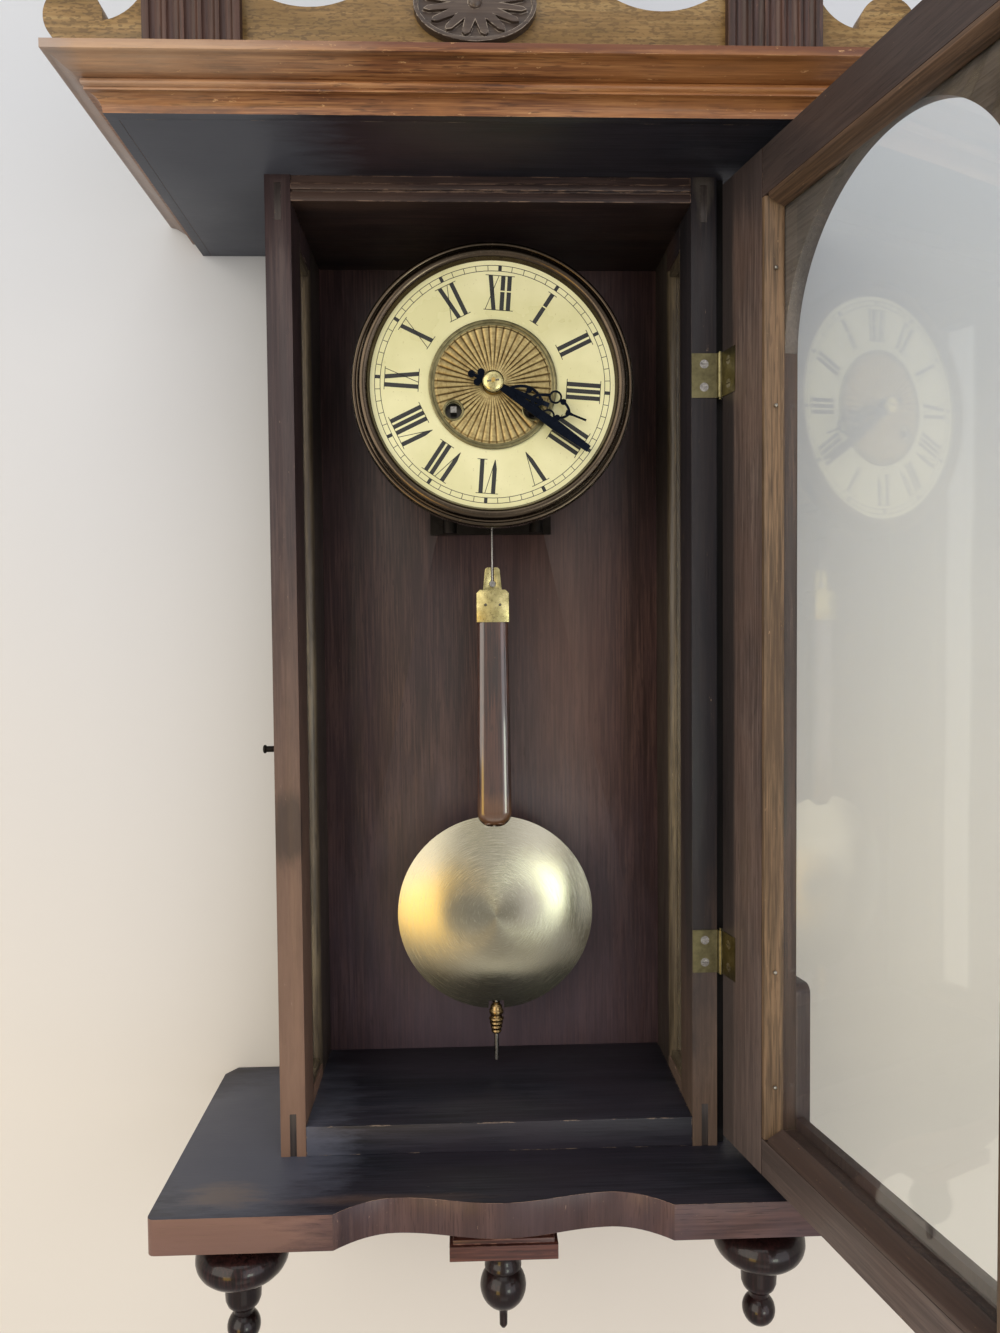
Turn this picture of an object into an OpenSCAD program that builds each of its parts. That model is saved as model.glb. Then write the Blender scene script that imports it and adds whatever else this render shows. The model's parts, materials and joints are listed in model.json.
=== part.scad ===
// Vienna regulator wall clock with a glazed arched door, a spring movement and a wood-stick pendulum.
// Millimetres. +X is to the right, the clock faces -Y, +Z is up. The wall is the plane y = 0.
// The origin is the centre of the round hole in the hanger plate, on the wall plane.

/* [Case] */
// Width over the two side frames
case_w = 264; // [250:1:290]
// Depth of the case from the wall to its front edge
case_d = 122; // [118:1:135]
// Room between the rating rod and the floor board
rod_room = 6.5; // [4:0.5:60]
// Thickness of the side frames
side_t = 15; // [13:0.5:18]
// Depth of the front stile of a side frame
front_stile_d = 30; // [24:1:32]
// Depth of the rear stile of a side frame, from the wall
rear_stile_d = 53; // [46:1:58]
// Height of the top rail of a side frame
side_rail_top = 30; // [26:1:40]
// Height of the bottom rail of a side frame
side_rail_low = 26; // [22:1:36]
// Thickness of the tenons of the side rails
tenon_t = 4; // [3:0.5:6]
// Width of the lip that the side glass rests on
side_lip_w = 5; // [4:0.5:7]
// Thickness of the lip that the side glass rests on
side_lip_t = 8; // [6:0.5:9]
// Thickness of the board that closes the case at the top
top_t = 15; // [12:1:20]
// Thickness of the floor board of the case
floor_t = 18; // [14:1:22]
// Thickness of the back board
back_t = 15; // [13:1:18]
// How far the back board is let into the side frames
back_rebate = 7; // [5:0.5:9]
// Thickness of the glass in the side frames and the door
glass_t = 2; // [1.5:0.5:3]

/* [Cornice] */
// Width of the cornice at its lower edge
cornice_w = 400; // [380:1:440]
// Depth of the cornice at its lower edge, from the wall
cornice_d = 186.5; // [180:0.5:210]
// Height of the cornice moulding
cornice_h = 24; // [22:1:30]
// How far the top of the moulding stands out over its lower edge
cornice_out = 22; // [20:1:28]
// Thickness of the moulding at its lower edge
cornice_t = 6; // [5:0.5:9]
// Thickness of the soffit board
soffit_t = 14; // [10:1:18]

/* [Base] */
// Width of the base board
base_w = 386; // [370:1:430]
// Depth of the base board at its two wings
base_d = 181; // [176:1:200]
// Thickness of the base board
base_t = 20; // [16:1:26]
// Depth of the hollow in the serpentine front
wave_d = 14; // [8:1:18]
// How far the middle of the serpentine front swells out again
wave_swell = 8; // [4:1:10]
// Half width of the swelling middle
wave_mid = 60; // [50:1:66]
// Half width of the whole shaped stretch
wave_w = 93; // [86:1:104]
// Width of the drop block under the base
drop_w = 61; // [52:1:76]
// Depth of the drop block
drop_d = 44; // [38:1:56]
// Height of the drop block
drop_h = 17; // [14:1:24]
// Width of the cut at the rear corners of the base board
base_cut_w = 7; // [4:0.5:12]
// Depth of the cut at the rear corners of the base board
base_cut_d = 10; // [6:0.5:16]
// Distance of the centre finial behind the front of the base wings
finial_mid_in = 35; // [33:1:50]
// Distance of the side finials behind the front of the base wings
finial_in = 31; // [29:1:50]
// Distance of the side finials from the centre line
finial_x = 149; // [130:1:158]
// Largest radius of the side finials
finial_r = 26.2; // [22:0.2:28]
// Length of the side finials
finial_h = 71; // [64:1:80]
// Largest radius of the centre finial
onion_r = 13.4; // [11:0.1:15]
// Length of the centre finial
onion_h = 54; // [48:1:62]

/* [Crest] */
// Width of the crest board
crest_w = 435; // [420:1:440]
// Thickness of the crest board
crest_t = 12; // [9:0.5:15]
// How far the loose crest has slid to the left on the cornice
crest_shift = 4.7; // [0:0.1:6]
// Height of the crest board at the middle
crest_h = 122; // [112:1:140]
// Half width of the middle panel of the crest
panel_w = 40; // [36:1:46]
// Radius of the two large scoops
scoop_r = 50; // [46:0.5:52]
// Distance of the large scoops from the centre line
scoop_x = 88; // [84:0.5:90]
// Distance of a fluted block from the centre line, to its middle
block_x = 144; // [140:0.5:146]
// Width of a fluted block
block_w = 47.5; // [44:0.5:52]
// Height of a fluted block
block_h = 72; // [60:1:80]
// Thickness of a fluted block in front of the crest board
block_t = 6; // [5:0.5:8]
// Number of flutes on a block
flutes = 5; // [3:1:6]
// Width of the medallion
medal_w = 61; // [54:1:68]
// Height of the medallion
medal_h = 37; // [32:1:44]
// Thickness of the medallion
medal_t = 7; // [5:0.5:9]
// How far the medallion is glued to the left of the middle of the crest
medal_shift = 5.4; // [0:0.1:8]

/* [Door] */
// How far the door stands open at rest, in degrees
door_open = 103.3; // [0:0.1:160]
// Thickness of the door frame
door_t = 20; // [18:0.5:24]
// Gap between the soffit and the door
door_gap_top = 5.4; // [3:0.1:8]
// Gap between the base board and the door
door_gap_low = 7.7; // [3:0.1:10]
// Width of a door stile on its back face
door_stile_w = 44; // [40:0.5:50]
// Height of the top rail on its back face
door_rail_top = 26.3; // [24:0.1:34]
// Height of the bottom rail on its back face
door_rail_low = 21; // [18:0.5:30]
// Width of the lip in front of the glass
door_lip_w = 5; // [4:0.5:8]
// Thickness of the lip in front of the glass
door_lip_t = 8; // [7:0.5:9]
// Width of the glazing beads
bead_w = 6.5; // [5:0.5:8]
// Height of the base blocks on the door front
door_block_h = 107; // [80:1:120]
// Thickness of the base blocks on the door front
door_block_t = 9; // [7:0.5:12]
// Radius of the half columns on the door front
column_r = 9; // [7:0.5:11]

/* [Hinges and catch] */
// Height of a hinge leaf
leaf_h = 26; // [22:1:32]
// Thickness of a hinge leaf
leaf_t = 1.2; // [1:0.1:1.5]
// Width of a hinge leaf, measured from the pin
leaf_w = 17; // [14:0.5:20]
// Radius of the hinge knuckles
knuckle_r = 2; // [1.8:0.1:2]
// Radius of the hinge pins
hinge_pin_r = 1; // [0.8:0.1:1.1]
// How far the pin stands out past the side of the case
pin_out = 2.1; // [2.1:0.1:3.4]
// Gap between the case front and the shut door
door_gap = 1; // [0.8:0.1:1.4]
// Height of the upper hinge under the soffit, to its middle
hinge_drop_top = 115.5; // [90:0.5:150]
// Height of the lower hinge above the base board, to its middle
hinge_rise_low = 120; // [90:1:160]
// Height of the catch peg above the base board
peg_rise = 245; // [200:1:320]
// Length of the catch peg outside the case
peg_len = 8; // [6:0.5:10]
// How far the dust strip behind the hinges stands out of the case side
strip_out = 5; // [3:0.5:5]
// Distance of the dust strip behind the case front
strip_in = 4.5; // [4:0.5:8]
// Depth of the dust strip
strip_d = 8; // [5:0.5:12]
// Radius of the catch peg at its neck
peg_r = 1.8; // [1.4:0.1:2.2]
// Distance of the catch peg behind the case front
peg_in = 9; // [7:0.5:12]

/* [Dial and hands] */
// Depth of the dial centre under the soffit
dial_drop = 116; // [112:0.5:130]
// Radius of the dial plate
dial_r = 75; // [73:0.5:77]
// Radius of the pressed brass centre
dial_centre_r = 39; // [37:0.5:42]
// Number of rays in the pressed brass centre
rays = 48; // [40:2:72]
// Outer radius of the bezel
bezel_r = 86; // [85:0.5:92]
// Length of the minute hand from its hub
minute_len = 70; // [62:0.5:71]
// Largest width of the minute hand
minute_w = 6.4; // [4:0.1:8]
// Width of the minute hand at its blunt tip
minute_tip_w = 4.1; // [2:0.1:5]
// Length of the hour hand from its hub
hour_len = 60.5; // [50:0.5:62]
// Angle of the minute hand from twelve, in degrees
minute_angle = 125.2; // [0:0.1:360]
// Angle of the hour hand from twelve, in degrees
hour_angle = 112; // [0:0.1:360]
// Radius of the brass nut on the hands
hand_nut_r = 6.6; // [5:0.1:8]

/* [Movement] */
// Distance of the pendulum from the wall
pendulum_out = 50; // [48:0.5:54]
// Thickness of the movement plates
plate_t = 2.5; // [2:0.1:3]
// Space between the movement plates
plate_gap = 28; // [27:0.5:32]
// Half width of the movement plates
plate_w = 50; // [49:0.5:54]
// Height of the plates above the hand centre
plate_up = 60; // [58:0.5:62]
// Depth of the plates below the hand centre
plate_down = 62; // [60:0.5:66]
// Distance of the winding arbors from the centre line
wind_x = 24; // [24:0.1:25]
// Depth of the winding arbors below the hand centre
wind_drop = 15.5; // [15:0.1:17]
// Radius of the mainspring drums
drum_r = 20; // [18:0.2:20.2]
// Height of the going mainspring drum
drum_h = 15; // [12:0.5:15]
// Height of the striking mainspring drum
strike_drum_h = 12; // [10:0.5:12]
// Thickness of the wheels
wheel_t = 2; // [1.5:0.1:2.2]
// Radius of the wheel arbors
arbor_r = 1.5; // [1.3:0.1:1.7]
// Radius of the pivots in the plates
pivot_r = 0.9; // [0.7:0.05:1.1]
// Half distance between the thumb screws of the movement
foot_x = 27.5; // [26:0.5:30]
// How far the thumb screws reach below the bracket
thumb_drop = 25; // [20:1:28]
// Half width of the movement bracket
bracket_w = 42; // [40:1:48]
// Height of the back of the movement bracket
bracket_h = 20; // [18:1:26]

/* [Pendulum] */
// Radius of the pendulum bob
bob_r = 65.5; // [60:0.5:68]
// Thickness of the bob at its middle
bob_t = 18; // [14:1:20]
// Distance from the suspension to the middle of the bob
bob_drop = 390; // [384:0.5:400]
// Width of the wood stick at its top
stick_w_top = 20.6; // [18:0.2:23]
// Width of the wood stick at its bottom
stick_w_low = 23; // [20:0.2:25]
// Thickness of the wood stick
stick_t = 10; // [8:0.5:12]
// Width of the brass cap of the stick
cap_w = 21.4; // [20:0.2:24]
// Height of the brass cap of the stick
cap_h = 21.5; // [18:0.5:26]
// Distance from the suspension to the top of the cap
cap_drop = 173; // [160:0.5:180]
// Height of the hook tongue above the cap
tongue_h = 15; // [13:0.5:18]
// Radius of the leader wire
leader_r = 0.7; // [0.5:0.1:1]
// Radius of the rating rod
rating_rod_r = 1.5; // [1.2:0.1:1.8]
// How far the rating rod reaches below the bob
rod_below = 35; // [32:1:44]
// Largest radius of the rating nut
rating_nut_r = 5.2; // [4.6:0.1:6]
// Height of the rating nut
rating_nut_h = 21.5; // [18:0.5:23]

/* [Gong] */
// Largest radius of the gong coil
gong_r = 42; // [38:0.5:44]
// Turns of the gong coil
gong_turns = 4; // [3:1:5]
// Width of the gong wire
gong_wire = 2.6; // [2:0.1:3]
// Width of the block that holds the gong
gong_block_w = 14; // [12:1:18]
// Height of the block that holds the gong
gong_block_h = 12; // [10:1:14]
// Height of the gong block above the centre of the gong
gong_block_rise = 34; // [30:1:36]
// Depth of the hammer stroke below the centre of the gong
hammer_low = 27; // [24:1:30]

/* [Hanger] */
// Height of the hanger hole above the cornice
hang_rise = 14; // [12:0.5:18]
// Radius of the round hole of the hanger
hang_r = 6; // [5:0.5:7]
// Thickness of the hanger plate
hang_t = 2; // [1.5:0.1:2.5]
// Width of the hanger plate
hang_w = 34; // [30:1:40]
// How far the hanger plate reaches below the top of the cornice
hang_below = 40; // [36:1:50]

/* [Clearances] */
// Radial running clearance of pins and arbors
run = 0.05; // [0.02:0.01:0.1]
// Clearance round glass and other loose-fitted pieces
slack = 0.3; // [0.1:0.05:0.4]
// Clearance between pieces that pass each other
pass = 0.4; // [0.3:0.05:0.5]

/* [Hidden] */
$fn = 48;

z_top = -hang_rise;
z_soffit = z_top - cornice_h;
z_dial = z_soffit - dial_drop;
pallet_z = 51;
z_hang = z_dial + pallet_z;
z_bob = z_hang - bob_drop;
z_bob_top = z_bob + bob_r;
z_bob_low = z_bob - bob_r;
z_rod_low = z_bob_low - rod_below;
z_base = z_rod_low - rod_room - floor_t;
z_under = z_base - base_t;
x_out = case_w / 2;
x_in = x_out - side_t;
y_win_front = front_stile_d - case_d;
y_win_rear = -rear_stile_d;
z_win_top = z_soffit - side_rail_top;
z_win_low = z_base + side_rail_low;
x_back = x_in + back_rebate;
y_crest = -(cornice_d + cornice_out - block_t);

x_pin = x_out + pin_out;
y_pin = -case_d - door_gap / 2;
x_screw = x_pin - leaf_w / 2 - 1;
screw_r = 1.2;
y_door_back = -case_d - door_gap;
y_door_front = y_door_back - door_t;
y_glass_back = y_door_front + door_lip_t + glass_t;
z_door_top = z_soffit - door_gap_top;
z_door_low = z_base + door_gap_low;
z_pane_top = z_door_top - door_rail_top;
z_pane_low = z_door_low + door_rail_low;
x_pane = x_out - door_stile_w;
x_sight = x_pane - door_lip_w;
column_x = (x_out + x_sight) / 2;
cap_block_h = 34;
plinth_t = 5;
plinth_rise = 11;

y_pend = -pendulum_out;
y_rear_plate = y_pend - 9.5;
y_plate_in = y_rear_plate - plate_t;
y_front_in = y_plate_in - plate_gap;
y_front_out = y_front_in - plate_t;
dial_feet = 8.5;
dial_t = 2;
y_dial_back = y_front_out - dial_feet;
y_dial = y_dial_back - dial_t;
centre_t = 1.2;

// Wheel work, as teeth and pitch radii
great_teeth = 54;
centre_leaves = 10;
wind_reach = norm([wind_x, wind_drop]);
great_r = wind_reach * great_teeth / (great_teeth + centre_leaves);
centre_pinion_r = wind_reach - great_r;
centre_teeth = 60;
third_leaves = 8;
centre_r = 18;
third_pinion_r = centre_r * third_leaves / centre_teeth;
third_teeth = 56;
escape_leaves = 8;
third_r = 14;
escape_pinion_r = third_r * escape_leaves / third_teeth;
escape_teeth = 30;
escape_r = 13;
cannon_teeth = 12;
minute_teeth = 36;
minute_leaves = 12;
hour_teeth = 48;
motion_reach = 18;
pin_leaves = 10;
pin_wheel_r = 12;
strike_pins = 8;

third_x = 8;
third_z = sqrt(pow(centre_r + third_pinion_r, 2) - third_x * third_x);
escape_z = third_z + sqrt(pow(third_r + escape_pinion_r, 2) - third_x * third_x);
pin_x = -18;
pin_z = sqrt(wind_reach * wind_reach - pow(wind_x + pin_x, 2)) - wind_drop;
hammer_x = -44;
hammer_z = 8;
cap_plate_y = y_rear_plate + 3;

z_cap_top = z_hang - cap_drop;
z_cap_low = z_cap_top - cap_h;
z_stick_low = z_bob_top - 6.5;
z_nut_top = z_bob_low + 4.6;

gong_z = z_dial - 11.5;
y_gong = -back_t - 9;
bracket_z = z_dial - plate_down;
screw_spread = 13.5;
head_r = 2.6;
hinge_z = [z_soffit - hinge_drop_top, z_base + hinge_rise_low];
hook_arm = door_t / 2 + door_gap + peg_in;
z_peg = z_base + peg_rise;

// Helpers that place simple solids by their limits
module bar(x0, x1, y0, y1, z0, z1) {
    translate([x0, y0, z0]) cube([x1 - x0, y1 - y0, z1 - z0]);
}
module rod_x(y, z, x0, x1, r) {
    translate([x0, y, z]) rotate([0, 90, 0]) cylinder(r = r, h = x1 - x0);
}
module rod_y(x, z, y0, y1, r) {
    translate([x, y1, z]) rotate([90, 0, 0]) cylinder(r = r, h = y1 - y0);
}
module rod_z(x, y, z0, z1, r) {
    translate([x, y, z0]) cylinder(r = r, h = z1 - z0);
}
// A flat outline drawn in x and z, made solid from y0 to y1
module slab(y0, y1) {
    translate([0, y1, 0]) rotate([90, 0, 0]) linear_extrude(y1 - y0) children();
}
// A turned form on an axis along y, drawn as radius and distance forward of y
module turned_y(x, y, z) {
    translate([x, y, z]) rotate([90, 0, 0]) rotate_extrude() children();
}
module both_sides() {
    children();
    mirror([1, 0, 0]) children();
}
module on_door() {
    translate([x_pin, y_pin, 0]) rotate([0, 0, door_open]) translate([-x_pin, -y_pin, 0]) children();
}
function polar(r, a) = [r * cos(a), r * sin(a)];
function arc(cx, cy, r, a0, a1, n) = [for (i = [0:n]) [cx, cy] + polar(r, a0 + (a1 - a0) * i / n)];

// Outline of a wheel or pinion with straight-sided teeth; turn brings tooth 0 to that direction
function teeth_outline(n, r_root, r_tip, root_part, tip_part, turn) =
    [for (i = [0:n - 1], k = [0:3])
        let (a = turn + 360 * i / n, w = 180 / n * (k == 0 || k == 3 ? root_part : tip_part),
             side = k < 2 ? -1 : 1, r = (k == 0 || k == 3) ? r_root : r_tip)
        polar(r, a + side * w)];
module wheel_teeth(n, r, turn) {
    m = 2 * r / n;
    polygon(teeth_outline(n, r - 1.15 * m, r + 0.7 * m, 0.56, 0.2, turn));
}
module pinion_leaves(n, r, turn) {
    m = 2 * r / n;
    polygon(teeth_outline(n, r - 1.1 * m, r + 0.55 * m, 0.42, 0.26, turn));
}
// A toothed wheel with a rim, a hub and crossed arms
module crossed_wheel(n, r, turn, hub) {
    rim = r - 1.15 * 2 * r / n - 2;
    difference() {
        wheel_teeth(n, r, turn);
        difference() {
            circle(r = rim);
            circle(r = hub);
            for (a = [0, 90]) rotate(a + turn) square([2 * rim + 1, 2.4], center = true);
        }
    }
}
// An arbor with a pivot in each plate
module arbor(x, z) {
    rod_y(x, z, y_front_in + 0.6, y_plate_in - 0.6, arbor_r);
    rod_y(x, z, y_front_out, y_rear_plate, pivot_r);
}
function dir(a, b) = atan2(b[1] - a[1], b[0] - a[0]);

centre_p = [0, 0];
time_p = [wind_x, -wind_drop];
strike_p = [-wind_x, -wind_drop];
third_p = [third_x, third_z];
escape_p = [0, escape_z];
pallet_p = [0, pallet_z];
motion_p = [0, -motion_reach];
pin_p = [pin_x, pin_z];
hammer_p = [hammer_x, hammer_z];

// The layers of the wheel work between the plates, from the back
y_great = y_plate_in - 1.8;
y_escape = y_plate_in - 3;
y_pins = y_plate_in - 0.7;
pin_reach = 4.6;
y_third = y_plate_in - 15;
y_strike_great = y_plate_in - 18.5;
y_centre = y_plate_in - 23;
y_cannon = y_front_out - 2.2;
y_hour = y_cannon - wheel_t - 0.6;

// Case

// A strip on the hinge side keeps dust out of the gap behind the hinges
module front_stiles() {
    color("#5a3524") difference() {
        union() {
            both_sides() {
                bar(x_in, x_out, -case_d, y_win_front, z_base, z_soffit);
                bar(x_out - side_lip_t, x_out, y_win_front, y_win_front + side_lip_w, z_win_low, z_win_top);
            }
            bar(x_out - side_lip_t, x_out + strip_out, strip_in - case_d, strip_in + strip_d - case_d,
                z_base, z_soffit);
        }
        both_sides() rail_tenons();
        hinge_seats();
        peg_hole();
    }
}
// The tenons go right through the front stile and end inside the rear one
module rail_tenons() {
    x0 = (x_in + x_out - tenon_t) / 2;
    rear_end = y_win_rear + 24;
    bar(x0, x0 + tenon_t, -case_d, rear_end, z_win_top + 4, z_soffit - 4.5);
    bar(x0, x0 + tenon_t, -case_d, rear_end, z_base, z_win_low);
}
// The leaves are let into the wood, and the screws go on from there
module hinge_seats() {
    for (z = hinge_z) {
        bar(x_pin - leaf_w, x_out + 1, y_pin - 2, y_pin + run + leaf_t, z - leaf_h / 2, z + leaf_h / 2);
        for (s = [-1, 1]) rod_y(x_screw, z + s * screw_spread / 2, y_pin, y_pin + 14, screw_r);
    }
}
module peg_hole() {
    rod_x(-case_d + peg_in, z_peg, -x_out, -x_out + 8, peg_r);
}
module rear_stiles() {
    color("#55301f") both_sides() difference() {
        union() {
            bar(x_in, x_out, y_win_rear, 0, z_base, z_soffit);
            bar(x_out - side_lip_t, x_out, y_win_rear - side_lip_w, y_win_rear, z_win_low, z_win_top);
        }
        bar(x_in, x_back, -back_t, 0, z_base, z_soffit);
        rail_tenons();
    }
}
module side_rails() {
    color("#5a3524") both_sides() {
        bar(x_in, x_out, y_win_front, y_win_rear, z_win_top, z_soffit);
        bar(x_in, x_out, y_win_front, y_win_rear, z_base, z_win_low);
        rail_tenons();
        for (z = [z_win_top - side_lip_w, z_win_low])
            bar(x_out - side_lip_t, x_out, y_win_front + side_lip_w, y_win_rear - side_lip_w,
                z, z + side_lip_w);
    }
}
module side_glasses() {
    color("#dfe8e4", 0.35) both_sides()
        bar(x_out - side_lip_t - glass_t, x_out - side_lip_t, y_win_front + slack, y_win_rear - slack,
            z_win_low + slack, z_win_top - slack);
}
// Quarter-round beads hold the side glass from inside
module side_beads() {
    w = 4.5;
    x1 = x_out - side_lip_t - glass_t;
    color("#8a6040") both_sides() {
        for (end = [0, 1]) {
            y = end == 0 ? y_win_front : y_win_rear;
            s = end == 0 ? 1 : -1;
            translate([0, 0, z_win_low]) linear_extrude(z_win_top - z_win_low)
                polygon(concat([[x1, y], [x_in, y]],
                    [for (a = [0:15:90]) [x1 - (x1 - x_in) * cos(a), y + s * w * (0.25 + 0.75 * sin(a))]]));
        }
        for (z = [z_win_low, z_win_top - w])
            bar(x_in + 1, x1, y_win_front + w, y_win_rear - w, z, z + w);
    }
}
module top_board() {
    color("#4a2d20") difference() {
        bar(-x_in, x_in, -case_d, -back_t, z_soffit - top_t, z_soffit);
        bar(-x_in, x_in, -case_d, -case_d + 1.5, z_soffit - 9.6, z_soffit - 8.4);
        bar(-x_in, x_in, -case_d, -case_d + 0.8, z_soffit - 4.6, z_soffit);
    }
}
module floor_board() {
    color("#3a2519") bar(-x_in, x_in, -case_d, -back_t, z_base, z_base + floor_t);
}
module back_board() {
    color("#5e2f1e") difference() {
        bar(-x_back, x_back, -back_t, 0, z_base, z_top);
        bar(-hang_w / 2, hang_w / 2, -hang_t, 0, z_hang_low, z_top);
        for (p = hanger_screw_places) rod_y(p[0], p[1], -10, -hang_t, screw_r);
        for (p = bracket_screw_places) rod_y(p[0], p[1], -back_t, -back_t + 9, screw_r);
        for (p = gong_screw_places) rod_y(p[0], p[1], -back_t, -back_t + 9, screw_r);
    }
}

// Cornice

// Profile of the moulding: distance out from its lower edge, and height
function cornice_profile() =
    let (o = cornice_out / 22, h = cornice_h / 24)
    concat([[-cornice_t, 0], [0, 0]],
        [for (a = [0:15:90]) [6 * o * (1 - cos(a)), h * (1 + 7 * sin(a))]],
        [[6.9 * o, 8 * h], [6.9 * o, 9.1 * h], [6.3 * o, 9.1 * h]],
        [for (a = [-75:25:75]) [(6 + 2.2 * cos(a)) * o, (11.6 + 2.2 * sin(a)) * h]],
        [[8.6 * o, 13.9 * h]],
        [for (t = [0.1:0.1:0.9]) [(8.6 + 12.4 * t) * o, h * (13.9 + 5.3 * (t - 0.1 * sin(360 * t)))]],
        [[21 * o, 19.2 * h], [cornice_out, 19.6 * h], [cornice_out, cornice_h], [-cornice_t, cornice_h]]);
module cornice_moulding() {
    x0 = cornice_w / 2;
    far = cornice_out + 2;
    color("#a5683a") {
        intersection() {
            translate([-x0 - far, -cornice_d, z_soffit]) rotate([90, 0, 90])
                linear_extrude(2 * x0 + 2 * far) mirror([1, 0]) polygon(cornice_profile());
            translate([0, 0, z_soffit - 1]) linear_extrude(cornice_h + 2)
                polygon([[-x0 - far, -cornice_d - far], [x0 + far, -cornice_d - far],
                         [x0 - cornice_t, cornice_t - cornice_d], [cornice_t - x0, cornice_t - cornice_d]]);
        }
        both_sides() intersection() {
            translate([x0, 0, z_soffit]) rotate([90, 0, 0])
                linear_extrude(cornice_d + far) polygon(cornice_profile());
            translate([0, 0, z_soffit - 1]) linear_extrude(cornice_h + 2)
                polygon([[x0 + far, -cornice_d - far], [x0 + far, 0], [x0 - cornice_t, 0],
                         [x0 - cornice_t, cornice_t - cornice_d]]);
        }
    }
}
module soffit_board() {
    color("#3b2a24") difference() {
        bar(cornice_t - cornice_w / 2, cornice_w / 2 - cornice_t, cornice_t - cornice_d, 0,
            z_soffit, z_soffit + soffit_t);
        bar(-x_back, x_back, -back_t, 0, z_soffit, z_soffit + soffit_t);
    }
}

// Base

// Depth of the serpentine front at a distance from the centre line
function wave(x) =
    let (a = abs(x))
    a >= wave_w ? base_d
    : a >= wave_mid ? base_d - wave_d * (1 - pow((a - wave_mid) / (wave_w - wave_mid), 2))
    : base_d - wave_d + wave_swell * (1 + cos(180 * a / wave_mid)) / 2;
module base_board() {
    w = base_w / 2;
    r = 4;
    color("#7a4a2e") translate([0, 0, z_under]) linear_extrude(base_t)
        polygon(concat([[w, -base_cut_d], [w - base_cut_w, 0], [base_cut_w - w, 0], [-w, -base_cut_d]],
            arc(-w + r, -base_d + r, r, 180, 270, 4),
            [[-wave_w, -base_d]],
            [for (i = [1:45]) let (x = -wave_w + 2 * wave_w * i / 46) [x, -wave(x)]],
            [[wave_w, -base_d]],
            arc(w - r, -base_d + r, r, 270, 360, 4)));
}
module drop_block() {
    w = drop_w / 2;
    mid = finial_mid_in - base_d;
    z0 = z_under - drop_h;
    z1 = z0 + drop_h * 0.5;
    color("#5a2e20") {
        bar(-w, w, mid - drop_d / 2, mid + drop_d / 2, z0, z1);
        bar(2 - w, w - 2, mid - drop_d / 2 + 2, mid + drop_d / 2 - 2, z1, z1 + 2.5);
        bar(4.5 - w, w - 4.5, mid - drop_d / 2 + 4.5, mid + drop_d / 2 - 4.5, z1 + 2.5, z_under);
    }
}
// Outline of a side finial: a neck, a wide bun, a cup and a ball, as radius and height below the base
function finial_outline() =
    let (r = finial_r, h = finial_h, ball = 0.36 * r, cup = 0.39 * r)
    concat([[0, 0], [0.62 * r, 0], [0.62 * r, -0.05 * h], [0.5 * r, -0.08 * h], [0.52 * r, -0.12 * h]],
        [for (a = [60:-16:-84]) [r * (0.6 + 0.4 * cos(a)), h * (-0.275 + 0.145 * sin(a))]],
        [[cup * 0.9, -0.43 * h], [cup, -0.445 * h], [cup, -0.59 * h]],
        [for (a = [-15:-25:-65]) [cup * (0.5 + 0.5 * cos(a)), h * (-0.61 + 0.1 * sin(a))]],
        [[0.62 * cup, -0.705 * h]],
        [for (a = [54:-12:-78]) [ball * cos(a), -h + ball + ball * sin(a)]],
        [[0, -h]]);
// Outline of the centre finial: a flared neck, a ball and a stem
function onion_outline() =
    let (r = onion_r, h = onion_h)
    concat([[0, 0], [0.66 * r, 0], [0.64 * r, -0.1 * h], [0.66 * r, -0.2 * h], [0.8 * r, -0.285 * h],
            [0.8 * r, -0.31 * h], [0.69 * r, -0.325 * h]],
        [for (a = [48:-12:-72]) [r * cos(a), -0.525 * h + r * sin(a)]],
        [[0.23 * r, -0.79 * h], [0.18 * r, -0.83 * h], [0.17 * r, -0.97 * h], [0.09 * r, -h], [0, -h]]);
module bottom_finials() {
    color("#3a1c16") {
        both_sides() translate([finial_x, finial_in - base_d, z_under]) rotate_extrude()
            polygon(finial_outline());
        translate([0, finial_mid_in - base_d, z_under - drop_h]) rotate_extrude() polygon(onion_outline());
    }
}

// Crest

module crest_outline() {
    lobe_r = 14.5;
    lobe_x = crest_w / 2 - lobe_r;
    scoop_z = scoop_r + 20;
    difference() {
        union() {
            translate([-crest_w / 2 + 20, 0]) square([crest_w - 40, 13]);
            for (s = [-1, 1]) {
                translate([s * block_x - block_w / 2 + 1, 0]) square([block_w - 2, block_h - 6]);
                translate([s * (block_x + block_w / 2 + 8) - 10, 0]) square([20, 27]);
            }
            translate([1 - block_x, 0]) square([2 * block_x - 2, 46]);
            translate([-panel_w, 0]) square([2 * panel_w, crest_h - panel_w * 0.8]);
            translate([0, crest_h - panel_w]) circle(r = panel_w);
        }
        for (s = [-1, 1]) {
            translate([s * scoop_x, scoop_z]) circle(r = scoop_r);
            translate([s * (block_x + block_w / 2 + 25), 39]) circle(r = 27);
        }
    }
    intersection() {
        for (s = [-1, 1]) translate([s * lobe_x, lobe_r]) circle(r = lobe_r);
        translate([-crest_w / 2, 0]) square([crest_w, 2 * lobe_r]);
    }
}
module crest_board() {
    color("#b98a4a") translate([-crest_shift, 0, z_top]) slab(y_crest, y_crest + crest_t) crest_outline();
}
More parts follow.
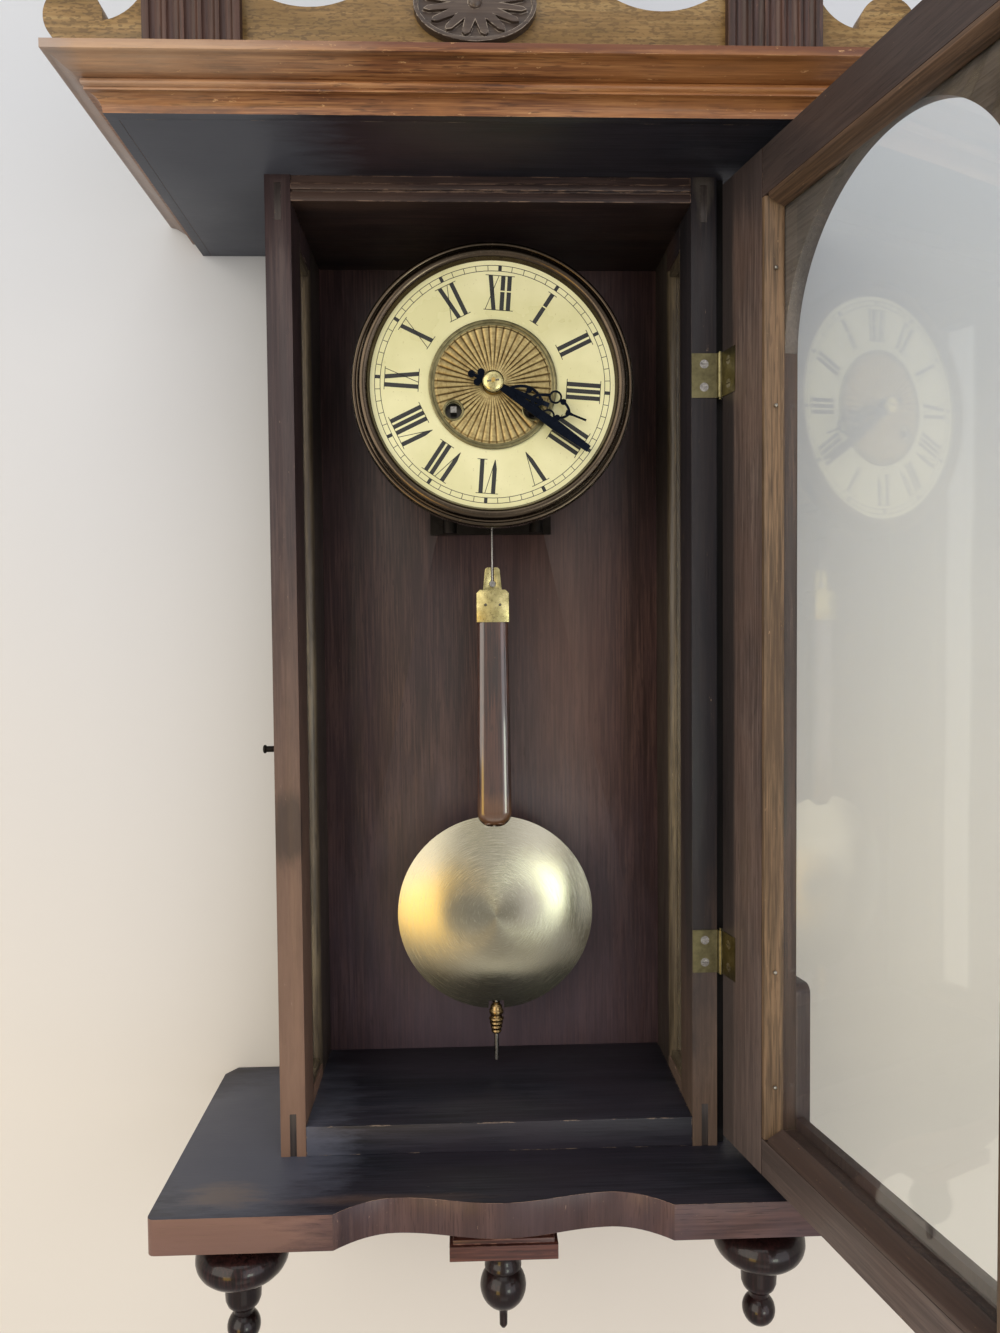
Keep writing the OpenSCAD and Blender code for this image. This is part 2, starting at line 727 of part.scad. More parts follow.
module crest_blocks() {
    pitch = (block_w - 5) / flutes;
    color("#5c4030") translate([-crest_shift, 0, z_top]) both_sides() translate([block_x, 0, 0]) {
        difference() {
            bar(-block_w / 2, block_w / 2, y_crest - block_t, y_crest, 0, block_h);
            for (i = [0:flutes - 1])
                rod_z(pitch * (i - (flutes - 1) / 2), y_crest - block_t - 0.9, -1, block_h - 8, pitch * 0.4);
        }
        bar(-block_w / 2 - 3, block_w / 2 + 3, y_crest - block_t - 2, y_crest + crest_t + 2,
            block_h, block_h + 5);
        translate([0, y_crest + (crest_t - block_t) / 2, block_h + 5]) rotate_extrude()
            polygon(concat([[0, 0], [9, 0], [9, 3], [5, 5], [4.5, 8]],
                [for (a = [-60:15:60]) [9.5 * cos(a), 18 + 11 * sin(a)]],
                [[3, 29], [3, 31], [5, 33], [3.5, 37], [0, 39]]));
    }
}
// An oval rosette: a rimmed plate, a ring of petals and a boss
module crest_medallion() {
    a = medal_w / 2;
    b = medal_h / 2;
    petals = 16;
    color("#4a3830") translate([-crest_shift - medal_shift, 0, z_top + b + 1]) {
        slab(y_crest - medal_t * 0.55, y_crest)
            polygon([for (t = [0:10:350]) [a * cos(t), b * sin(t)]]);
        slab(y_crest - medal_t * 0.8, y_crest - medal_t * 0.55) difference() {
            polygon([for (t = [0:10:350]) [a * cos(t), b * sin(t)]]);
            polygon([for (t = [0:10:350]) [(a - 2.2) * cos(t), (b - 2.2) * sin(t)]]);
        }
        slab(y_crest - medal_t * 0.85, y_crest - medal_t * 0.55)
            polygon([for (i = [0:petals - 1], k = [0:3])
                let (t = 360 / petals * (i + [0, 0.28, 0.5, 0.72][k]), s = [0.45, 0.78, 0.86, 0.78][k])
                [a * s * cos(t), b * s * sin(t)]]);
        turned_y(0, y_crest - medal_t * 0.85, 0)
            polygon([[0, 0], [3.4, 0], [3, 1], [1.8, 1.8], [0, 2.2]]);
    }
}

// Hanger

z_hang_low = z_top - hang_below;
bracket_t = 4;
hanger_screw_places = [[-9, z_top - 10], [9, z_top - 10], [0, z_hang_low + 10]];
bracket_screw_places = [[-34, bracket_z - 10], [34, bracket_z - 10], [0, bracket_z - 14]];
gong_block_x = gong_r - 9;
gong_block_z = gong_z + gong_block_rise;
gong_screw_places = [[gong_block_x, gong_block_z]];
module hanger_plate() {
    color("#8b7a55") difference() {
        union() {
            bar(-hang_w / 2, hang_w / 2, -hang_t, 0, z_hang_low, 0);
            rod_y(0, 0, -hang_t, 0, hang_w / 2);
        }
        rod_y(0, 0, -hang_t - 1, 1, hang_r);
        bar(-hang_r / 2, hang_r / 2, -hang_t - 1, 1, 0, hang_r + 3);
        for (p = hanger_screw_places) {
            rod_y(p[0], p[1], -hang_t - 1, 1, screw_r);
            rod_y(p[0], p[1], -0.6, 1, 3);
        }
    }
}

// Fixings

// A wood screw whose head ends at y0 and points along +y
module wood_screw(x, z, y0, head_r, head_t, length) {
    difference() {
        rod_y(x, z, y0, y0 + head_t, head_r);
        bar(x - head_r, x + head_r, y0 - 1, y0 + 0.5, z - 0.3, z + 0.3);
    }
    rod_y(x, z, y0 + head_t, y0 + length, screw_r);
}
module hinge_screws() {
    for (z = hinge_z, s = [-1, 1])
        wood_screw(x_screw, z + s * screw_spread / 2, y_pin + 2 * run, head_r, leaf_t - run, 12);
}
module case_screws() {
    color("#9a9690") {
        hinge_screws();
        for (p = hanger_screw_places) mirror([0, 1, 0]) wood_screw(p[0], p[1], 0, 3, 0.6, 10);
        for (p = bracket_screw_places)
            wood_screw(p[0], p[1], -back_t - bracket_t - 2, 3.4, 2, bracket_t + 11);
        for (p = gong_screw_places) wood_screw(p[0], p[1], y_gong - 4, 3.4, 1.5, -back_t - y_gong + 13);
        for (s = [-1, 1]) {
            rod_z(s * foot_x, y_foot, bracket_z - 12, bracket_z + foot_in, 1.8);
            rod_z(s * foot_x, y_foot, bracket_z - thumb_drop, bracket_z - 12, 4.5);
        }
    }
}
y_foot = (y_plate_in + y_front_in) / 2;
foot_in = 7;

// Hinges and catch

// Leaf on the case side of the pin, with the end knuckles and the pin
module hinge_case_leaves() {
    part = leaf_h / 3;
    color("#a88a4c") for (z = hinge_z) {
        difference() {
            union() {
                bar(x_pin - leaf_w, x_out, y_pin + run, y_pin + run + leaf_t, z - leaf_h / 2, z + leaf_h / 2);
                for (s = [-1, 1]) {
                    rod_z(x_pin, y_pin, z + s * part - part / 2, z + s * part + part / 2, knuckle_r);
                    bar(x_out, x_pin, y_pin + run, y_pin + run + leaf_t,
                        z + s * part - part / 2, z + s * part + part / 2);
                }
            }
            for (s = [-1, 1]) rod_y(x_screw, z + s * screw_spread / 2, y_pin - 1, y_pin + 3, head_r);
        }
        rod_z(x_pin, y_pin, z - leaf_h / 2 - 1, z + leaf_h / 2 + 1, hinge_pin_r);
    }
}
module hinge_door_leaves() {
    part = leaf_h / 3;
    color("#a88a4c") on_door() for (z = hinge_z) difference() {
        union() {
            bar(x_pin - leaf_w, x_out - pass, y_pin - run - leaf_t, y_pin - run,
                z - leaf_h / 2, z + leaf_h / 2);
            rod_z(x_pin, y_pin, z - part / 2 + pass / 4, z + part / 2 - pass / 4, knuckle_r);
            bar(x_out - 1, x_pin, y_pin - run - leaf_t, y_pin - run,
                z - part / 2 + pass / 4, z + part / 2 - pass / 4);
        }
        rod_z(x_pin, y_pin, z - part, z + part, hinge_pin_r + run);
        for (s = [-1, 1]) rod_y(x_screw, z + s * screw_spread / 2, y_pin - 3, y_pin + 1, head_r);
    }
}
module door_screws() {
    color("#9a9690") on_door() {
        translate([0, 2 * y_pin, 0]) mirror([0, 1, 0]) hinge_screws();
        difference() {
            rod_x(y_hook, z_peg, -x_out - 3.6, -x_out - 2, 3);
            bar(-x_out - 4, -x_out - 3, y_hook - 4, y_hook + 4, z_peg - 0.4, z_peg + 0.4);
        }
        rod_x(y_hook, z_peg, -x_out - 2, -x_out + 12, hook_pin_r);
    }
}
y_hook = y_door_back - door_t / 2;
hook_pin_r = 1.5;
// The peg is turned with a head, and sits in the left front stile
module catch_peg() {
    color("#3c3630") translate([-x_out, -case_d + peg_in, z_peg]) rotate([0, -90, 0]) rotate_extrude()
        polygon([[0, -8], [peg_r, -8], [peg_r, peg_len - 2], [peg_r + 0.7, peg_len - 1.4],
                 [peg_r + 0.7, peg_len - 0.4], [peg_r, peg_len], [0, peg_len]]);
}
// A flat hook that hangs from its screw on the free edge of the door, with its notch to the case
module door_hook() {
    x0 = -x_out - 2;
    notch = peg_r + pass;
    color("#8a7444") on_door() translate([0, y_hook, z_peg]) difference() {
        union() {
            rod_x(0, 0, x0, x0 + 1.6, 4);
            bar(x0, x0 + 1.6, -2, 2, -hook_arm, 0);
            rod_x(0, -hook_arm, x0, x0 + 1.6, peg_r + 2.6);
        }
        rod_x(0, 0, x0 - 1, x0 + 3, hook_pin_r + run);
        rod_x(0, -hook_arm, x0 - 1, x0 + 3, notch);
        bar(x0 - 1, x0 + 3, -notch - 4, 0, -hook_arm - notch, -hook_arm + notch);
    }
}

// Door, drawn shut and then turned open

module door_stiles() {
    color("#4a3028") on_door() difference() {
        both_sides() {
            bar(x_pane, x_out, y_door_front, y_door_back, z_door_low, z_door_top);
            bar(x_sight, x_pane, y_door_front, y_door_front + door_lip_t, z_door_low, z_door_top);
        }
        both_sides() rail_stubs();
        translate([0, 2 * y_pin, 0]) mirror([0, 1, 0]) hinge_seats();
        rod_x(y_hook, z_peg, -x_out - 1, -x_out + 12, hook_pin_r);
    }
}
// Stub tenons of the door rails
module rail_stubs() {
    y = y_door_back - 8;
    bar(x_pane, x_pane + 20, y, y + 4, z_pane_top + 5, z_door_top - 5);
    bar(x_pane, x_pane + 20, y, y + 4, z_door_low + 4, z_pane_low - 4);
}
module door_rails() {
    y_lip = y_door_front + door_lip_t;
    color("#4a3028") on_door() {
        bar(-x_pane, x_pane, y_lip, y_door_back, z_pane_top, z_door_top);
        bar(-x_sight, x_sight, y_door_front, y_lip, z_door_top - 14, z_door_top);
        bar(-x_pane, x_pane, y_lip, y_door_back, z_door_low, z_pane_low);
        bar(-x_sight, x_sight, y_door_front, y_lip, z_door_low, z_pane_low + door_lip_w);
        both_sides() rail_stubs();
    }
}
// The board with the round arch, which the dial is seen through
module door_arch_board() {
    color("#33241f") on_door() slab(y_door_front, y_door_front + door_lip_t) difference() {
        translate([-x_sight, z_dial]) square([2 * x_sight, z_door_top - 14 - z_dial]);
        translate([0, z_dial]) circle(r = x_sight - 0.3);
    }
}
module door_glass() {
    color("#e4ece8", 0.35) on_door()
        bar(-x_pane + slack, x_pane - slack, y_glass_back - glass_t, y_glass_back,
            z_pane_low + slack, z_pane_top - slack);
}
// Sloping beads that hold the glass in its rebate
module door_beads() {
    deep = y_door_back - y_glass_back;
    section = [[0, 0], [bead_w, 0], [bead_w, 1.5], [bead_w * 0.4, deep], [0, deep]];
    color("#9b7348") on_door() {
        both_sides() translate([x_pane, y_glass_back, z_pane_low]) mirror([1, 0, 0])
            linear_extrude(z_pane_top - z_pane_low) polygon(section);
        for (end = [0, 1]) translate([0, y_glass_back, end == 0 ? z_pane_low : z_pane_top])
            mirror([0, 0, end]) translate([-x_pane + bead_w, 0, 0]) rotate([90, 0, 90])
                linear_extrude(2 * x_pane - 2 * bead_w) polygon([for (p = section) [p[1], p[0]]]);
    }
}
// Turned half columns between the base blocks and the cap blocks
module door_columns() {
    z0 = z_door_low + door_block_h;
    z1 = z_door_top - cap_block_h;
    h = z1 - z0;
    r = column_r;
    color("#2e1a15") on_door() both_sides() translate([column_x, y_door_front, z0])
        rotate([0, 0, 180]) rotate_extrude(angle = 180)
            polygon(concat(
                [[0, 0], [r, 0], [r, 4], [0.72 * r, 6], [0.72 * r, 9], [0.95 * r, 12], [0.72 * r, 15]],
                [for (t = [0:0.1:1]) [r * (0.7 + 0.18 * sin(180 * t)), 20 + (h - 40) * t]],
                [[0.72 * r, h - 15], [0.95 * r, h - 12], [0.72 * r, h - 9], [0.72 * r, h - 6],
                 [r, h - 4], [r, h], [0, h]]));
}
module door_blocks() {
    r = 5;
    color("#3d241c") on_door() {
        both_sides() {
            slab(y_door_front - door_block_t, y_door_front) {
                translate([x_sight, z_door_low]) square([x_out - x_sight, door_block_h - r]);
                translate([x_sight + r, z_door_low]) square([x_out - x_sight - 2 * r, door_block_h]);
                for (x = [x_sight + r, x_out - r])
                    translate([x, z_door_low + door_block_h - r]) circle(r = r);
            }
            bar(x_sight + 4, x_out - 4, y_door_front - door_block_t, y_door_front,
                z_door_top - cap_block_h, z_door_top - 2);
        }
        bar(-x_sight, x_sight, y_door_front - plinth_t, y_door_front, z_door_low, z_pane_low + plinth_rise);
    }
}

// Movement

module plate_outline() {
    difference() {
        translate([-plate_w, -plate_down]) square([2 * plate_w, plate_up + plate_down]);
        for (s = [-1, 1]) translate([s * (plate_w + 4), plate_up + 4]) rotate(45)
            square([34, 34], center = true);
    }
}
// Pivot holes of the wheel arbors, which both plates share
module pivot_holes() {
    for (p = [third_p, escape_p, pin_p, hammer_p]) translate(p) circle(r = pivot_r + run);
}
pillar_places = [[-foot_x, 6 - plate_down], [foot_x, 6 - plate_down],
                 [-38, plate_up - 26], [38, plate_up - 26]];
// The pillars are riveted into the back plate
module back_plate() {
    color("#b99a55") translate([0, 0, z_dial]) {
        slab(y_plate_in, y_rear_plate) difference() {
            plate_outline();
            pivot_holes();
            translate(pallet_p) circle(r = 3.2);
            circle(r = pivot_r + run);
            for (p = [time_p, strike_p]) translate(p) circle(r = winder_r + run);
        }
        difference() {
            for (p = pillar_places) {
                rod_y(p[0], p[1], y_front_in, y_plate_in, 3.6);
                rod_y(p[0], p[1], y_front_out - 1.2, y_front_in, 1.8);
            }
            for (s = [-1, 1]) rod_z(s * foot_x, y_foot, -plate_down - 1, foot_in - plate_down, 1.8);
        }
    }
}
winder_r = 2.6;
module front_plate() {
    color("#b99a55") translate([0, 0, z_dial]) {
        slab(y_front_out, y_front_in) difference() {
            plate_outline();
            pivot_holes();
            translate(pallet_p) circle(r = pivot_r + run);
            circle(r = arbor_r + run);
            for (p = [time_p, strike_p]) translate(p) circle(r = winder_r + run);
            for (p = pillar_places) translate(p) circle(r = 1.8);
        }
        rod_y(motion_p[0], motion_p[1], y_dial_back + 0.5, y_front_out, 1.2);
        both_sides() translate([wind_x, 0, -wind_drop]) slab(y_front_out - 1.8, y_front_out)
            polygon([[ratchet_r + 0.4, -1], [ratchet_r + 1.4, -1], [ratchet_r + 4.5, 9], [ratchet_r + 2, 10]]);
    }
}
ratchet_r = 8.4;
dial_foot_places = [[-40, -40], [40, -40], [-44, 20], [44, 20]];
module dial_plate() {
    color("#efe9c0") translate([0, 0, z_dial]) {
        difference() {
            rod_y(0, 0, y_dial, y_dial_back, dial_r);
            rod_y(0, 0, y_dial - 1, y_dial_back + 1, 7);
            for (p = [time_p, strike_p]) rod_y(p[0], p[1], y_dial - 1, y_dial_back + 1, 5);
        }
        for (p = dial_foot_places) rod_y(p[0], p[1], y_dial_back, y_front_out, 1.8);
    }
}
// Pressed brass centre with rays, a plain rim and raised winding holes
module dial_centre() {
    color("#b08a4a") translate([0, 0, z_dial]) {
        slab(y_dial - centre_t * 0.5, y_dial) difference() {
            circle(r = dial_centre_r);
            centre_holes(5);
        }
        slab(y_dial - centre_t, y_dial - centre_t * 0.5) difference() {
            union() {
                polygon(teeth_outline(rays, 8, dial_centre_r - 4, 0.5, 0.5, 0));
                circle(r = 9);
            }
            centre_holes(6.4);
        }
        slab(y_dial - centre_t, y_dial - centre_t * 0.5) {
            difference() {
                circle(r = dial_centre_r);
                circle(r = dial_centre_r - 3);
            }
            for (p = [time_p, strike_p]) translate(p) difference() {
                circle(r = 6.4);
                circle(r = 5);
            }
        }
    }
}
module centre_holes(r) {
    circle(r = 7);
    for (p = [time_p, strike_p]) translate(p) circle(r = r);
}
module dial_bezel() {
    lip_r = dial_r - 2;
    roll_r = (bezel_r - dial_r - 3) / 2;
    roll_c = bezel_r - 2.4 - roll_r;
    fwd = dial_t + 2;
    color("#8a6b3c") turned_y(0, y_dial_back + 6, z_dial)
        polygon(concat([[bezel_r, 0], [bezel_r, 4 + fwd], [bezel_r - 0.8, 5 + fwd], [bezel_r - 1.8, 4 + fwd]],
            arc(roll_c, 5 + fwd, roll_r, 0, 180, 12),
            [[lip_r, 6.4 + dial_t], [lip_r, 6 + dial_t], [dial_r, 6 + dial_t], [dial_r, 5],
             [bezel_r - 1.5, 5], [bezel_r - 1.5, 0]]));
}
module movement_bracket() {
    color("#2e2c2a") difference() {
        union() {
            bar(-bracket_w, bracket_w, -back_t - bracket_t, -back_t, bracket_z - bracket_h, bracket_z - 4);
            for (s = [-1, 1]) {
                bar(s * foot_x - 6, s * foot_x + 6, y_front_out, -back_t, bracket_z - 5, bracket_z);
                bar(s * foot_x - 2, s * foot_x + 2, y_rear_plate, -back_t, bracket_z - 12, bracket_z - 5);
            }
        }
        for (p = bracket_screw_places) rod_y(p[0], p[1], -back_t - bracket_t - 1, -back_t + 1, screw_r);
        for (s = [-1, 1]) rod_z(s * foot_x, y_foot, bracket_z - 6, bracket_z + 1, 2);
    }
}
// The cock carries the rear pivot of the pallets and the suspension
module suspension_cock() {
    y0 = cap_plate_y;
    lug = 6;
    color("#b99a55") translate([0, 0, z_hang]) difference() {
        union() {
            bar(-16, 16, y0, y0 + 2, -5, lug + 6);
            for (s = [-1, 1]) rod_y(s * 13, 4, y_rear_plate, y0, 2.4);
            bar(-4, 4, y0 + 2, y_pend + 4, lug, lug + 6);
        }
        rod_y(0, 0, y0 - 1, y0 + 3, pivot_r + run);
        bar(-pass - 0.2, pass + 0.2, y_pend - 3.5, y_pend + 5, lug - 1, lug + 7);
    }
}
// Wheels

module centre_wheel() {
    color("#c2a255") translate([0, 0, z_dial]) {
        slab(y_centre - wheel_t, y_centre)
            crossed_wheel(centre_teeth, centre_r, dir(centre_p, third_p), 5);
        slab(y_great - wheel_t - 1, y_great + 1)
            pinion_leaves(centre_leaves, centre_pinion_r, dir(centre_p, time_p) + 180 / centre_leaves);
        rod_y(0, 0, y_cannon + 0.6, y_plate_in - 0.6, arbor_r);
        rod_y(0, 0, y_dial - 13, y_cannon + 0.6, 1.2);
        rod_y(0, 0, y_plate_in - 0.6, y_rear_plate, pivot_r);
    }
}
// The cannon pinion grips the centre arbor and carries the minute hand
module cannon_pinion() {
    color("#a9a39a") translate([0, 0, z_dial]) difference() {
        union() {
            slab(y_cannon - wheel_t, y_cannon)
                pinion_leaves(cannon_teeth, motion_reach / 4, -90 + 180 / cannon_teeth);
            rod_y(0, 0, y_minute_hand, y_cannon, 2.2);
        }
        rod_y(0, 0, y_minute_hand - 1, y_cannon + 1, 1.2);
    }
}
y_hour_hand = y_dial - 5;
y_minute_hand = y_dial - 9;
hand_t = 0.9;
module minute_wheel() {
    color("#c2a255") translate([motion_p[0], 0, z_dial + motion_p[1]]) difference() {
        union() {
            slab(y_cannon - wheel_t, y_cannon)
                crossed_wheel(minute_teeth, motion_reach * 3 / 4, 90, 3.4);
            slab(y_hour - wheel_t, y_cannon - wheel_t)
                pinion_leaves(minute_leaves, motion_reach / 5, 90 + 180 / minute_leaves);
        }
        rod_y(0, 0, y_dial, y_front_out, 1.2 + run);
    }
}
module hour_wheel() {
    color("#c2a255") translate([0, 0, z_dial]) difference() {
        union() {
            slab(y_hour - wheel_t, y_hour)
                crossed_wheel(hour_teeth, motion_reach * 4 / 5, -90, 5.4);
            rod_y(0, 0, y_hour_hand - hand_t, y_hour, 3.6);
        }
        rod_y(0, 0, y_hour_hand - 3, y_hour + 1, 2.2 + run);
    }
}
module third_wheel() {
    color("#c2a255") translate([third_x, 0, z_dial + third_z]) {
        slab(y_third - wheel_t, y_third)
            crossed_wheel(third_teeth, third_r, dir(third_p, escape_p), 3.6);
        slab(y_centre - wheel_t - 1, y_centre + 1)
            pinion_leaves(third_leaves, third_pinion_r, dir(third_p, centre_p) + 180 / third_leaves);
        arbor(0, 0);
    }
}
module escape_wheel() {
    root = escape_r - 2.4;
    color("#c2a255") translate([0, 0, z_dial + escape_z]) {
        slab(y_escape - wheel_t, y_escape) difference() {
            polygon([for (i = [0:escape_teeth - 1], k = [0:2])
                polar([root, escape_r, root][k], 360 / escape_teeth * (i + [0, 0.1, 0.5][k]))]);
            difference() {
                circle(r = root - 1.8);
                circle(r = 3.4);
                for (a = [0, 90]) rotate(a) square([2 * escape_r, 1.8], center = true);
            }
        }
        slab(y_third - wheel_t - 1, y_third + 1)
            pinion_leaves(escape_leaves, escape_pinion_r, dir(escape_p, third_p) + 180 / escape_leaves);
        arbor(0, 0);
    }
}
// Recoil anchor on its arbor, with the crutch that drives the pendulum
module anchor() {
    reach = pallet_z - escape_z;
    tip = escape_r + 0.6;
    crutch_l = 56;
    color("#8f8f92") translate([0, 0, z_hang]) {
        slab(y_escape - wheel_t, y_escape) {
            circle(r = 3);
            for (s = [-1, 1]) polygon([[0, 2.6], [s * 3, 2.4], [s * 12.6, -3], [s * 12.8, -8.6],
                [s * tip * cos(42), tip * sin(42) - reach], [s * tip * cos(52), tip * sin(52) - reach],
                [s * 9, -3.6], [0, -1]]);
        }
        rod_y(0, 0, y_front_in + 0.6, cap_plate_y - 0.5, arbor_r);
        rod_y(0, 0, y_front_out, y_front_in + 0.6, pivot_r);
        rod_y(0, 0, cap_plate_y - 0.5, cap_plate_y + 2, pivot_r);
        bar(-1.2, 1.2, y_rear_plate + 0.9, y_rear_plate + 2.1, -crutch_l, 0);
        for (s = [-1, 1]) bar(s * 2.2 - 0.8, s * 2.2 + 0.8, y_rear_plate + 0.9, y_pend + 2,
            -crutch_l - 1, -crutch_l + 1);
        bar(-3, 3, y_rear_plate + 0.9, y_rear_plate + 2.1, -crutch_l - 1, -crutch_l + 1);
    }
}
// A spring drum with its great wheel; y_gear is the front of the wheel, drum_side the side the drum is on
module barrel(x, turn, y_gear, drum_side, drum_h) {
    y0 = drum_side > 0 ? y_gear : y_gear - wheel_t - drum_h;
    color("#c2a255") translate([x, 0, z_dial - wind_drop]) difference() {
        union() {
            slab(y_gear - wheel_t, y_gear) wheel_teeth(great_teeth, great_r, turn);
            rod_y(0, 0, y0, y0 + drum_h, drum_r);
        }
        rod_y(0, 0, y_front_in, y_plate_in, winder_r + 1.2 + run);
        rod_y(0, 0, y0 + 1, y0 + drum_h - 1, drum_r - 1.2);
    }
}
module time_barrel() {
    barrel(wind_x, dir(time_p, centre_p), y_great, -1, drum_h);
}
module strike_barrel() {
    barrel(-wind_x, dir(strike_p, pin_p), y_strike_great, 1, strike_drum_h);
}
// Barrel arbor with its ratchet wheel and the square for the key
module winder(x) {
    color("#9c9c9e") translate([x, 0, z_dial - wind_drop]) {
        rod_y(0, 0, y_front_in + 0.4, y_plate_in - 0.4, winder_r + 1.2);
        rod_y(0, 0, y_front_out - 2, y_rear_plate, winder_r);
        slab(y_front_out - 2.2, y_front_out - 0.4)
            polygon([for (i = [0:17], k = [0:1]) polar([7, ratchet_r][k], 20 * (i + 0.1 * k))]);
        bar(-1.8, 1.8, y_dial - 3, y_front_out - 2, -1.8, 1.8);
    }
}
module time_winder() {
    winder(wind_x);
}
module strike_winder() {
    winder(-wind_x);
}
module pin_wheel() {
    y0 = y_pins;
    color("#c2a255") translate([pin_x, 0, z_dial + pin_z]) {
        slab(y0 - 1.8, y0) difference() {
            circle(r = pin_wheel_r);
            difference() {
                circle(r = pin_wheel_r - 3.6);
                circle(r = 3.6);
                for (a = [0, 90]) rotate(a) square([2 * pin_wheel_r, 2.2], center = true);
            }
        }
        for (i = [0:strike_pins - 1]) {
            p = polar(pin_wheel_r - 1.8, 360 / strike_pins * i);
            rod_y(p[0], p[1], y0 - pin_reach, y0 - 1.8, 0.8);
        }
        slab(y_strike_great - wheel_t - 1, y_strike_great + 1)
            pinion_leaves(pin_leaves, centre_pinion_r, dir(pin_p, strike_p) + 180 / pin_leaves);
        arbor(0, 0);
    }
}
// The hammer lies clear of the gong at rest and swings out when a pin lifts its tail
module gong_hammer() {
    head_z = gong_z - hammer_low - (z_dial + hammer_z);
    head_x = -sqrt(gong_r * gong_r - hammer_low * hammer_low) - 4 - hammer_x;
    tail = norm([hammer_x - pin_x, hammer_z - pin_z]) - pin_wheel_r - 0.6;
    color("#8d8a86") translate([hammer_x, 0, z_dial + hammer_z]) {
        rod_y(0, 0, y_front_in + 0.6, y_plate_in - 0.6, arbor_r);
        rod_y(0, 0, y_front_out, y_front_in + 0.6, pivot_r);
        rod_y(0, 0, y_plate_in - 0.6, y_gong + 2, pivot_r);
        rotate([0, -dir(hammer_p, pin_p), 0]) bar(0, tail, y_pins - pin_reach + 0.3, y_pins - 2.4, -1.2, 1.2);
        bar(-1.4, 1.4, y_gong - 1.4, y_gong + 1.4, head_z, 1.8);
        rod_x(y_gong, head_z, head_x - 14, head_x, 5);
    }
}
// Flat spiral gong on a block that is screwed to the back board
module gong() {
    pitch = gong_r / (gong_turns + 1.6);
    steps = gong_turns * 24;
    r = function(i) gong_r - gong_wire / 2 - pitch * i / 24;
    color("#4a4c50") translate([0, 0, gong_z]) {
        slab(y_gong - 1.6, y_gong + 1.6) {
            polygon(concat(
                [for (i = [0:steps]) polar(r(i) + gong_wire / 2, 45 + 15 * i)],
                [for (i = [steps:-1:0]) polar(r(i) - gong_wire / 2, 45 + 15 * i)]));
        }
    }
    color("#4a4c50") difference() {
        bar(gong_block_x - gong_block_w / 2, gong_block_x + gong_block_w / 2, y_gong - 4, -back_t,
            gong_block_z - gong_block_h / 2, gong_block_z + gong_block_h / 2);
        for (p = gong_screw_places) {
            rod_y(p[0], p[1], y_gong - 5, -back_t, screw_r);
            rod_y(p[0], p[1], y_gong - 5, y_gong - 2.5, 3.4);
        }
    }
}

// Hands

// A flat blade that widens to two thirds of its length
module minute_hand() {
    l = minute_len;
    a = minute_w / 2;
    b = minute_tip_w / 2;
    color("#141a26") translate([0, 0, z_dial])
        slab(y_minute_hand, y_minute_hand + hand_t) rotate(-minute_angle) difference() {
            union() {
                circle(r = 5);
                polygon([[-1.8, 0], [1.8, 0], [a, l * 0.66], [b, l], [-b, l], [-a, l * 0.66]]);
            }
            circle(r = 2.2);
        }
}
// Points on a curve from a to c that leans towards b, and the outline of a narrow band along points
function bow(a, b, c) = [for (t = [0:0.125:1]) (1 - t) * (1 - t) * a + 2 * t * (1 - t) * b + t * t * c];
function band(p, w) =
    let (n = len(p) - 1,
         side = [for (i = [0:n]) let (v = p[min(i + 1, n)] - p[max(i - 1, 0)])
                 [v[1], -v[0]] * w / 2 / norm(v)])
    concat([for (i = [0:n]) p[i] - side[i]], [for (i = [n:-1:0]) p[i] + side[i]]);
// Pierced hour hand: a stem with scrolls and rings, two prongs that meet in a needle, and a three-lobed tail
module hour_hand() {
    l = hour_len;
    y0 = y_hour_hand - hand_t;
    y1 = y_hour_hand;
    tail = 14;
    ring_z = l * 0.63;
    ring_r = 4;
    blob_z = l * 0.72;
    color("#141a26") translate([0, 0, z_dial]) rotate([0, hour_angle, 0]) difference() {
        union() {
            rod_y(0, 0, y0, y1, 6);
            slab(y0, y1) polygon([[-0.9, -tail], [0.9, -tail], [1.6, 0], [1.3, l * 0.6],
                                  [-1.3, l * 0.6], [-1.6, 0]]);
            slab(y0, y1) polygon([[-1.5, l * 0.78], [1.5, l * 0.78], [0.6, l * 0.86], [0.6, l],
                                  [-0.6, l], [-0.6, l * 0.86]]);
            rod_y(0, -tail, y0, y1, 2.2);
            for (s = [-1, 1]) {
                rod_y(s * 3.2, -9, y0, y1, 2.2);
                slab(y0, y1) polygon(band([[0, -5], [s * 3.2, -9]], 2));
                slab(y0, y1) polygon(band(bow([s, l * 0.18], [s * 10, l * 0.36], [s, l * 0.52]), 1.6));
                slab(y0, y1)
                    polygon(band(bow([s, l * 0.42], [s * 4, l * 0.46], [s * 6, ring_z - ring_r + 1]), 1.6));
                rod_y(s * 4, l * 0.36, y0, y1, 1.7);
                slab(y0, y1) polygon(band([[s, l * 0.34], [s * 4, l * 0.36]], 1.4));
                difference() {
                    rod_y(s * 6, ring_z, y0, y1, ring_r);
                    rod_y(s * 6, ring_z, y0 - 1, y1 + 1, ring_r - 1.1);
                }
                rod_y(s * 5.1, blob_z, y0, y1, 1.8);
                slab(y0, y1) polygon(band(bow([s * 5.1, blob_z], [s * 4, l * 0.79], [0, l * 0.82]), 1.5));
            }
        }
        rod_y(0, 0, y0 - 1, y1 + 1, 3.6);
    }
}
